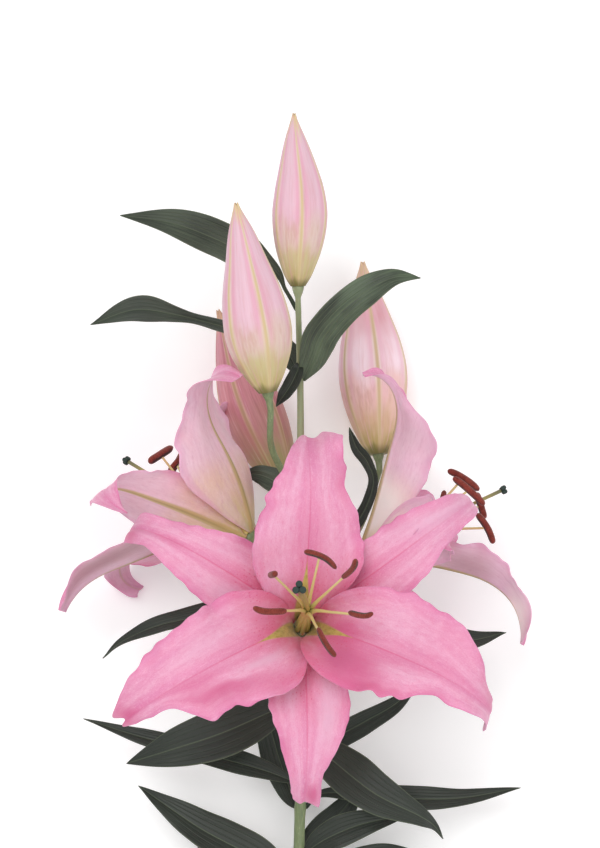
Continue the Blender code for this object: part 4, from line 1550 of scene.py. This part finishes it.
PINK = TepalFinish("front_petal_skin")
LEFT_PINK = TepalFinish(
    "left_petal_skin",
    outside=((0.0, "A3A055"), (0.1, "CFBD84"), (0.27, "DEBDA8"), (0.45, "E0BAC6"), (0.8, "DFB0C6"),
        (1.0, "D39BB8")),
)
RIGHT_PINK = TepalFinish("right_petal_skin")

FRONT = Bloom(
    "front",
    (1.1, 265.7, 46),
    (0.035, 0.20, 0.98),
    (
        Tepal(
            92, 126, 60, root_flare=8, flare=71, recurve=79, curl_from=0.49, twist=-3, sway=-9, phase=0.4,
            less=((0, 2), (0.1, 7), (0.2, 14), (0.3, 25), (0.4, 30), (0.5, 28), (0.6, 24), (0.7, 18.5),
                (0.8, 19), (0.88, 18), (0.95, 18), (1, 12)),
            more=tenths(2, 7, 14, 24, 29, 28.5, 26, 22, 14, 8.5, 6),
            drift=((0, 0), (0.2, 0), (0.4, -2), (0.7, -2.5), (1, 3)),
            crown=((-1, -2), (-0.7, 2), (-0.35, -3), (0, 3), (0.5, 5), (1, 1)),
            folds=(Fold(0.93, -0.6, 0.08, 0.35, 2.5), Fold(0.3, -1, 0.12, 0.4, -3),
                Fold(0.3, 1, 0.12, 0.4, -3), Fold(0.9, -0.1, 0.1, 0.2, -1.5)),
            painted_light_patches=(Fold(0.94, -0.55, 0.06, 0.3, -0.2), Fold(0.72, -0.9, 0.12, 0.25, -0.5),
                Fold(0.55, 0, 0.2, 0.5, -0.35), Fold(0.33, 0.7, 0.1, 0.3, 0.4),
                Fold(0.28, -0.3, 0.08, 0.25, -0.3)),
        ),
        Tepal(
            209, 136, 59, root_flare=11, flare=65, recurve=70, curl_from=0.47, twist=-5, sway=2, phase=1.2,
            frill=1.2,
            less=tenths(2, 8, 17, 25, 30, 29, 27, 25, 22, 15, 8),
            more=((0, 2), (0.1, 9), (0.2, 20), (0.3, 30), (0.4, 31), (0.5, 28), (0.6, 23.5), (0.66, 25),
                (0.7, 24.5), (0.75, 17), (0.8, 9.5), (0.9, 6.5), (1, 4)),
            crown=((-1, 0), (-0.6, 7), (-0.1, 1), (0.3, 5), (1, -2)),
            folds=(Fold(0.3, -1, 0.12, 0.5, 2.5), Fold(0.25, 1, 0.15, 0.4, -4),
                Fold(0.5, 0.45, 0.22, 0.28, 2.2), Fold(0.5, 0.85, 0.2, 0.3, -2.5)),
            painted_light_patches=(Fold(0.45, 0.35, 0.2, 0.12, 0.9), Fold(0.66, 0.4, 0.16, 0.3, -0.75),
                Fold(0.52, 0.6, 0.14, 0.3, -0.5), Fold(0.35, 0.8, 0.12, 0.25, -0.4),
                Fold(0.3, -0.45, 0.1, 0.3, -0.5), Fold(0.6, -0.45, 0.15, 0.3, 0.4),
                Fold(0.97, 0, 0.05, 1, -0.8), Fold(0.75, 0.05, 0.15, 0.12, -0.4)),
        ),
        Tepal(
            336, 154, 55, root_flare=12, flare=68, recurve=120, curl_from=0.56, twist=-8, sway=-9,
            phase=2.6, frill=1.2,
            less=((0, 2), (0.1, 8.5), (0.2, 18), (0.3, 26), (0.4, 27), (0.5, 24), (0.56, 22.5), (0.62, 17),
                (0.68, 10), (0.74, 11), (0.8, 10), (0.9, 7.5), (1, 7)),
            more=tenths(2, 8, 16, 25, 31, 33, 31, 26, 18, 10, 6),
            crown=((-1, 0), (-0.3, 3), (0.4, 6), (1, 0)),
            folds=(Fold(0.28, 1, 0.12, 0.5, 2.5), Fold(0.25, -1, 0.14, 0.5, 3.5),
                Fold(0.5, -0.5, 0.2, 0.3, 2), Fold(0.62, 0.5, 0.2, 0.35, -1.5)),
            painted_light_patches=(Fold(0.55, 0, 0.3, 1, -0.45), Fold(0.45, 0.45, 0.18, 0.4, 0.4),
                Fold(0.35, -0.5, 0.12, 0.3, -0.9), Fold(0.45, -0.9, 0.15, 0.2, -0.6),
                Fold(0.28, 0.15, 0.08, 0.3, -0.7), Fold(0.6, -0.4, 0.12, 0.25, 0.5),
                Fold(0.93, 0.5, 0.08, 0.6, -0.6)),
        ),
        Tepal(
            33, 130, 39, root_flare=23, flare=80, recurve=78, curl_from=0.57, broadest=0.45, taper=0.85,
            twist=2, sway=6, phase=0.9, whorl=Whorl.SEPAL,
            less=((0, 2.5), (0.1, 9), (0.2, 15), (0.3, 19), (0.5, 20), (0.6, 17.5), (0.7, 12), (0.8, 9.5),
                (0.9, 7.5), (1, 5)),
            more=((0, 2.5), (0.1, 9), (0.2, 15), (0.3, 18), (0.5, 17), (0.6, 17), (0.7, 15), (0.8, 11.5),
                (0.9, 8.5), (1, 6)),
            crown=((-1, 0), (0, 2), (1, 0)),
            folds=(Fold(0.55, -0.5, 0.2, 0.35, 1.5), Fold(0.75, 0.4, 0.15, 0.3, 1.2)),
            painted_light_patches=(Fold(0.38, 0.3, 0.1, 0.5, -0.5), Fold(0.9, 0, 0.12, 1, 0.2),
                Fold(0.52, -0.75, 0.1, 0.3, -0.1), Fold(0.75, 0.2, 0.15, 0.4, 0.5),
                Fold(0.6, 0.6, 0.15, 0.3, 0.3)),
        ),
        Tepal(
            147, 126, 41, root_flare=24, flare=81, recurve=90, curl_from=0.55, broadest=0.4, twist=-3,
            sway=8, phase=2, whorl=Whorl.SEPAL,
            less=((0, 2.5), (0.1, 10), (0.2, 16), (0.3, 20), (0.5, 19), (0.6, 15), (0.7, 12), (0.8, 10),
                (0.9, 9), (1, 6)),
            more=tenths(2.5, 10, 16, 20, 21, 19.5, 16.5, 13, 9, 7.5, 6),
            crown=((-1, 0), (0, 2), (1, 2)),
            folds=(Fold(0.85, 0.5, 0.1, 0.5, 2.5), Fold(0.55, 0.5, 0.2, 0.3, 1.5)),
            painted_light_patches=(Fold(0.93, 0.55, 0.07, 0.4, -1.1), Fold(0.72, 0.0, 0.12, 0.2, -0.6),
                Fold(0.4, 0.5, 0.15, 0.35, 0.5), Fold(0.5, -0.5, 0.15, 0.3, 0.3),
                Fold(0.3, -0.6, 0.08, 0.4, -0.5)),
        ),
        Tepal(
            272, 113, 42, root_flare=25, flare=76, recurve=84, curl_from=0.39, broadest=0.42, twist=-4,
            sway=-4, phase=3, whorl=Whorl.SEPAL, frill=0.8,
            less=tenths(2.5, 10, 16, 20, 21, 19.5, 15.5, 12.5, 9, 7, 4),
            more=tenths(2.5, 10, 16, 20, 22, 22, 19.5, 14, 9.5, 8.5, 8),
            crown=((-1, -3), (0, -1), (0.5, -3), (1, 5)),
            folds=(Fold(0.92, 0.6, 0.1, 0.35, 2.5), Fold(0.9, 0.15, 0.12, 0.2, -1.5)),
            painted_light_patches=(Fold(0.93, 0.5, 0.08, 0.35, -1), Fold(0.5, 0.5, 0.2, 0.3, 0.7),
                Fold(0.4, -0.4, 0.15, 0.3, 0.5), Fold(0.7, -0.8, 0.2, 0.25, -0.4)),
        ),
    ),
    (
        Stamen(90, (6.7, 27.5, 72), (1, -0.4, 0), 17.5, (0, 1.3, 0.8), (0.5, -2.5, 0),
            seam=(-0.3, -0.9, 0.35)),
        Stamen(30, (23, 19.8, 72), (0.6, 0.7, 0.8), 16, (0.6, -0.6, 0.5), (-1.5, 1, 0),
            seam=(0.7, -0.6, 0.3)),
        Stamen(-30, (27.8, -3.3, 70), (1, -0.12, 0.5), 14, (0, -0.9, 0.8), (0, 1.5, 0),
            seam=(0, 0.9, 0.45)),
        Stamen(-90, (9.3, -17.7, 70), (0.5, -0.8, 0.2), 18, (-0.8, -0.5, 0.8), seam=(-0.9, -0.3, 0.2)),
        Stamen(-150, (-19, -1.3, 70), (-1, 0.02, 0.1), 17.5, (0, -0.5, 1), (0, 1.8, 0)),
        Stamen(150, (-17.5, 17.7, 72), (0.2, 0.1, 1), 15),
    ),
    (-4.5, 9.2, 84),
    PINK,
    stigma_radius=3.8,
    stigma_turn=-0.29,
    bundle=(2.0, 5.0, 32.0),
)

LEFT = Bloom(
    "left",
    (-27, 312.5, 16),
    (-0.780, 0.502, -0.374),
    (
        Tepal(
            73, 115, 64, root_flare=54, flare=34, recurve=145, curl_from=0.46, twist=18, sway=-8, phase=1.1,
            ruffle=2.2,
            less=((0, 2), (0.1, 14), (0.2, 23), (0.3, 31), (0.4, 36), (0.5, 35), (0.6, 29), (0.7, 24),
                (0.77, 27), (0.84, 24), (0.9, 15), (1, 6)),
            more=tenths(2, 12, 17, 19, 21.5, 23, 22, 17, 9, 6, 3),
            folds=(Fold(0.55, -0.5, 0.2, 0.3, -2), Fold(0.6, 0.9, 0.15, 0.4, 4),
                Fold(0.82, -1, 0.07, 0.6, 6)),
            painted_light_patches=(Fold(0.2, 0.7, 0.12, 0.5, -0.5),),
        ),
        Tepal(
            287, 120, 56, root_flare=11, flare=57, recurve=47, curl_from=0.7, twist=1, ruffle=2.2,
            phase=1.4, tuck=(68, 0),
            less=((0, 2), (0.2, 10), (0.4, 12), (0.6, 11), (0.8, 9), (0.9, 8), (1, 6)),
            more=tenths(2, 7, 14, 22, 30, 33, 30, 25, 20, 14, 8),
            drift=((0, 0), (0.3, -7), (0.5, -10.5), (0.6, -9), (0.7, -7), (0.85, -6), (1, -6)),
            painted_light_patches=(Fold(0.7, 0.6, 0.3, 0.4, -0.8), Fold(0.5, -0.1, 0.25, 0.35, 0.3)),
        ),
        Tepal(181, 108, 43, root_flare=20, flare=37, recurve=59, curl_from=0.7, ruffle=2, phase=0.3),
        Tepal(-1, 120, 37, root_flare=27, flare=44, recurve=165, curl_from=0.52, taper=0.95, twist=-39,
            sway=-2, ruffle=3.1, phase=1.2, whorl=Whorl.SEPAL),
        Tepal(
            148, 105, 32, root_flare=38, flare=35, recurve=62, curl_from=0.74, ruffle=1.4, phase=2.8,
            whorl=Whorl.SEPAL,
            less=((0, 2.5), (0.2, 13), (0.4, 18), (0.5, 17), (0.6, 12), (0.7, 9), (0.8, 8), (0.9, 7),
                (1, 4)),
            more=((0, 2.5), (0.2, 13), (0.4, 19), (0.5, 18.5), (0.6, 17), (0.7, 15), (0.8, 10), (0.9, 5.5),
                (1, 2.5)),
        ),
        Tepal(
            241, 124, 39, root_flare=37, flare=39, recurve=170, curl_from=0.7, twist=2, ruffle=2.1,
            phase=4.4, whorl=Whorl.SEPAL,
            less=((0, 2.5), (0.2, 14), (0.5, 19), (0.7, 15), (0.8, 12), (0.9, 7), (1, 3)),
            more=((0, 2.5), (0.2, 14), (0.5, 19), (0.7, 16), (0.8, 13), (0.9, 8), (1, 3)),
            drift=((0, 0), (0.5, 3), (0.75, 6), (0.9, 4), (1, 1)),
        ),
    ),
    (
        Stamen(44, (13, 15, 65), (0.7, 0.45, -0.75), 20, thickness=4.6),
        Stamen(104, (4, 15, 58), (0.5, 0.6, -0.5)),
        Stamen(164, (-14, 8, 66), (0.4, 0.8, 0.3)),
        Stamen(224, (-14, -9, 66), (0.5, -0.7, 0.4)),
        Stamen(284, (2, -15, 64), (0.3, -0.9, 0.2)),
        Stamen(344, (15, -6, 66), (-0.2, -0.9, -0.3)),
    ),
    (-1, -2.5, 90),
    LEFT_PINK,
    style_radius=0.9,
)

RIGHT = Bloom(
    "right",
    (34.2, 304.1, 16),
    (0.872, 0.373, -0.317),
    (
        Tepal(
            102, 115, 66, root_flare=45, flare=58, recurve=108, curl_from=0.53, twist=16, sway=4, phase=0.6,
            ruffle=2.2, tuck=(62, 0),
            less=((0, 2), (0.1, 9), (0.2, 13), (0.4, 14), (0.6, 13), (0.8, 9), (0.9, 4), (1, 1.5)),
            more=((0, 2), (0.1, 13), (0.2, 23), (0.3, 29), (0.4, 34), (0.48, 33), (0.54, 37), (0.6, 37),
                (0.65, 27), (0.7, 14), (0.8, 6), (0.9, 3), (1, 1)),
            drift=((0, 0), (0.3, -5), (0.6, -5), (0.8, -3), (1, 0)),
            folds=(Fold(0.5, 0.5, 0.2, 0.3, -2),),
            painted_light_patches=(Fold(0.2, 0, 0.15, 1, 1.3), Fold(0.6, 0.3, 0.15, 0.6, -0.3)),
        ),
        Tepal(
            245, 110, 60, root_flare=24, flare=40, recurve=92, curl_from=0.5, sway=-2, phase=1.9,
            ruffle=2.2, tuck=(0, 62),
            less=((0, 2), (0.1, 8), (0.2, 14), (0.3, 21), (0.4, 27), (0.5, 30), (0.6, 29), (0.7, 25),
                (0.8, 20), (0.88, 17), (0.95, 13), (1, 6)),
            more=((0, 2), (0.1, 8), (0.2, 12), (0.4, 13), (0.6, 12), (0.8, 10), (0.9, 8), (1, 3)),
            drift=((0, 0), (0.6, 0), (0.8, 3), (0.9, 6), (1, 7)),
            painted_light_patches=(Fold(0.85, 0, 0.15, 1, 0.8), Fold(0.5, -0.3, 0.18, 0.6, -0.65)),
        ),
        Tepal(348, 102, 48, root_flare=8, flare=41, recurve=60, curl_from=0.7, ruffle=2, phase=2.9),
        Tepal(24, 105, 33, root_flare=29, flare=42, recurve=80, curl_from=0.72, twist=1, ruffle=1.4,
            phase=4.3, whorl=Whorl.SEPAL),
        Tepal(174, 87, 39, root_flare=51, flare=51, recurve=185, curl_from=0.42, ruffle=1.5, phase=0.2,
            whorl=Whorl.SEPAL),
        Tepal(299, 108, 39, root_flare=49, flare=62, recurve=60, curl_from=0.6, phase=2.3,
            whorl=Whorl.SEPAL),
    ),
    (
        Stamen(100, (-15.3, 18.6, 64.6), (0.84, -0.53, 0.1), 20.5, (0, 1.4, 0.6), thickness=4.0),
        Stamen(160, (-21.1, 12.4, 62.9), (0.75, -0.66, 0.0), 23, (0, 0.8, 0.6), thickness=4.2),
        Stamen(220, (-23.4, -10.5, 64.3), (0.47, -0.86, 0.2), 19, (1.2, 0.5, 1.6), thickness=4.2),
        Stamen(280, (-6, -1, 72), (0.3, -0.95, 0), 15, thickness=4.2),
        Stamen(340, (12, -6, 60), (-0.2, -0.9, -0.3)),
        Stamen(40, (8, 6, 56), (0.2, 0.8, -0.5)),
    ),
    (0, 1, 92),
    RIGHT_PINK,
    style_radius=0.9,
)

BUDS = (
    Bud("bud_top", (-1.1, 450.4, 0), (-3.3, 545, 2), 15.2, (2.0, 0, 0), 25.0),
    Bud("bud_front", (-17.3, 391.7, 35), (-34.4, 493, 42), 18.2, (0.2, 0, 0), 17.0,
        profile=((0, 0.27), (0.05, 0.46), (0.12, 0.68), (0.22, 0.91), (0.32, 1), (0.43, 0.97), (0.53, 0.88),
            (0.7, 0.62), (0.87, 0.35), (0.95, 0.17), (1, 0.06)),
    ),
    Bud(
        "bud_behind", (-7.9, 337.5, -58), (-46.9, 440, -82), 17.4, (-2, 1, 0), 49.0,
        # painted shade: a darker, browner copy of the bud skin, for the shade this bud lies in behind the
        # stem
        BudFinish(
            "bud_behind_skin", 49.0,
            ((0.0, "827F4C"), (0.12, "A59A6A"), (0.3, "C08C86"), (0.5, "CC8890"), (0.8, "D694A0"),
                (1.0, "D8B490")),
            "B08A6C", "BC6E80", "A5646C",
        ),
    ),
    Bud(
        "bud_right", (44.6, 357.4, -64.5), (36, 467.5, -81.5), 19.7, (0.6, 0, 0), 22.0,
        # painted light: a copy of the bud skin made paler, most of all midway up, where this bud lies low in
        # shade
        BudFinish(
            "bud_right_skin", 22.0,
            ((0.0, "8F8A4C"), (0.05, "BBA66C"), (0.14, "D6B494"), (0.3, "EEC6C2"), (0.46, "FCE0EA"),
                (0.75, "DAA0AA"), (1.0, "DCC293")),
            "CDB48C", "E8AFC2", "E6B8C0",
        ),
    ),
)

FOLIAGE = Foliage(
    (
        Leaf(438, ((-7.9, 449, -9), (-15, 461, -14), (-39, 474, -14), (-69, 485.5, -8), (-99, 490, -2)), 24,
            wave=1.6, phase=2, tone=LeafTone.OPEN,
            widths=((0, 1.3), (0.18, 1.7), (0.28, 5.5), (0.4, 11), (0.52, 10.5), (0.7, 9.5), (0.85, 5.5),
                (0.95, 2), (1, 0.2))),
        Leaf(402, ((-6.3, 413, -10), (-21, 423, -19), (-43, 429, -18), (-67, 435, -9), (-91, 438, -5),
            (-116, 430, -10)), 16, wave=2.5, tone=LeafTone.MIDDLE,
            widths=((0, 1.8), (0.08, 6.5), (0.16, 7), (0.3, 4.6), (0.45, 4.4), (0.57, 3.8), (0.66, 5.2),
                (0.77, 7.4), (0.88, 5), (0.96, 1.8), (1, 0.2))),
        Leaf(399, ((6, 410, 4), (12, 425, 9), (28, 441.5, 16), (49, 454, 18), (66, 455, 12)), 22,
            (0.3, -0.2, 1), (0.2, 0.5, 0.8), wave=2, tone=LeafTone.BRIGHT,
            widths=((0, 1.5), (0.1, 6.5), (0.22, 9.5), (0.38, 9.8), (0.55, 9), (0.7, 8.4), (0.85, 5),
                (0.95, 1.8), (1, 0.2))),
        Leaf(408, ((-1.5, 404, 7), (-5, 396.5, 9), (-9, 390.5, 9), (-13.3, 384.5, 7)), 9, (0.2, 0.6, 0.8),
            (0.2, 0.6, 0.8),
            widths=((0, 1.5), (0.2, 3.4), (0.5, 4.4), (0.8, 2.8), (1, 0.2))),
        Leaf(337, ((-13, 343, -9), (-23, 347, -13), (-34, 347, -15)), 15, tone=LeafTone.OPEN),
        Leaf(300, ((20, 309, -9), (34, 324, -14), (41, 342, -24), (37.5, 354, -26), (31.5, 362, -25),
            (27.3, 373, -24)), 10, (-0.5, 0.2, 0.9), (-0.3, 0, 0.9),
            widths=((0, 1.3), (0.3, 3.8), (0.55, 3.2), (0.7, 3.2), (0.85, 3.6), (0.93, 2.4), (1, 0.2))),
        Leaf(281, ((-24, 278, 8), (-49, 271, 12), (-76, 265, 8), (-97, 256, 2), (-109, 246, -4)), 17,
            (0, 0.5, 0.8), (-0.1, 0.7, 0.7), broadest=0.34),
        Leaf(256, ((27, 261, 6), (60, 262, 6), (91, 256, 0), (114, 260, -8)), 27, (0, 0.3, 1),
            (0, 0.5, 0.9)),
        Leaf(224, ((-16, 218, 14), (-43, 207, 24), (-70, 198, 22), (-95, 189.5, 12)), 28, (0.2, 0.3, 0.9),
            (0, 0.3, 1), broadest=0.47, fold=10),
        Leaf(178, ((-21, 185, 2), (-55, 194, -2), (-91, 203, -8), (-120, 212, -13)), 15, (0, 0.5, 0.9),
            (0, 0.6, 0.8)),
        Leaf(124, ((-22, 136, 6), (-52, 152, 8), (-74, 166, 4), (-89, 176, -2)), 25, (0.2, 0.4, 0.9),
            (0.2, 0.4, 0.9)),
        Leaf(163, ((-6, 174, -12), (-13, 194, -17), (-18, 216, -16), (-18, 240, -14)), 19, (-0.3, -0.1, 1),
            (-0.2, -0.2, 1)),
        Leaf(184, ((13, 197, -12), (35, 210, -10), (54, 222, -3), (68, 238, 0)), 15, (0.2, -0.2, 1),
            (0.2, 0, 1)),
        Leaf(203, ((16, 193, 16), (40, 175, 26), (64, 162.5, 22), (73, 156, 15), (78.5, 148, 10)), 26,
            (0.1, 0.3, 1), (0.3, 0.3, 0.9), fold=10,
            widths=((0, 1.6), (0.15, 9), (0.35, 13), (0.5, 12), (0.7, 8), (0.82, 4.8), (0.92, 2),
                (1, 0.2))),
        Leaf(164, ((11, 171, -3), (28, 171, -6), (55, 168.5, -6), (88, 168.5, -6), (122, 174, -10)), 14,
            (0, 0.4, 0.9), (0, 0.5, 0.9), broadest=0.5),
        Leaf(139, ((15, 148, 7), (34, 156, 9), (60, 161, 7)), 18, (-0.1, 0.4, 0.9), (0, 0.3, 1)),
        Leaf(134, ((10, 146, -13), (22, 159, -15), (36, 176, -15)), 20, (0.3, 0, 1), (0.2, 0, 1)),
        Leaf(120, ((24, 129, -5), (50, 136, -9), (78, 132, -15)), 18, (0, 0.3, 1), (0.2, 0.4, 0.9)),
        Leaf(114, ((-21, 130, -5), (-42, 138, -9), (-64, 137, -14)), 19, (0, 0.3, 1), (-0.2, 0.4, 0.9)),
        Leaf(100, ((-20, 106, 6), (-44, 112, 4), (-70, 107, -3)), 17, (0, 0.2, 1), (0, 0.4, 0.9)),
    )
)

BLOOMS = (FRONT, LEFT, RIGHT)

STALK_LINES: dict[str, tuple[Vec3, ...]] = {
    "front": ((0, 205, 0), (0.3, 226, 12), (0.6, 246, 26)),
    "left": ((0, 256, 0), (-5, 280, 11), (-12, 300, 19)),
    "right": ((0, 250, 0), (8, 276, 12), (18, 292, 19)),
    "bud_front": ((-0.6, 330, 0), (-4.5, 341.5, 12), (-11, 352, 23), (-15.8, 364.5, 30.5)),
    "bud_behind": ((0, 282, 0), (-1.5, 298, -20), (-4, 316, -42)),
    "bud_right": ((0, 276, 0), (16, 292, -16), (34, 318, -40)),
}
RECEPTACLE_RADIUS = 5.0
BUD_SEAT_RADIUS = 3.6


def stalks() -> tuple[Stalk, ...]:
    """The six stalks, each from its line, its flower's place and the way that the flower looks."""
    seats = {bloom.name: (bloom.place, bloom.looks, RECEPTACLE_RADIUS) for bloom in BLOOMS}
    seats |= {bud.name: (bud.foot, tuple(np.subtract(bud.tip, bud.foot)), BUD_SEAT_RADIUS) for bud in BUDS}
    return tuple(Stalk(line, *seats[name]) for name, line in STALK_LINES.items())


def main() -> None:
    """Loads the frame, dresses every solid and sets up the studio."""
    logging.basicConfig(level=logging.INFO, format="%(message)s")
    for left_over in list(bpy.data.objects):
        bpy.data.objects.remove(left_over)
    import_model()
    stem = Stem(stalks=stalks())
    repose = Repose()
    shift = np.array(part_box("stem")[0]) - stem.lowest_corner(repose)
    repose = Repose(shift=tuple(float(number) for number in shift))
    stem.build(repose, [leaf.height for leaf in FOLIAGE.leaves])
    FOLIAGE.build(stem, repose)
    for bud in BUDS:
        bud.build(repose)
    for bloom in BLOOMS:
        bloom.build(repose)
    Studio().build(repose)
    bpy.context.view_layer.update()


if __name__ == "__main__":
    main()
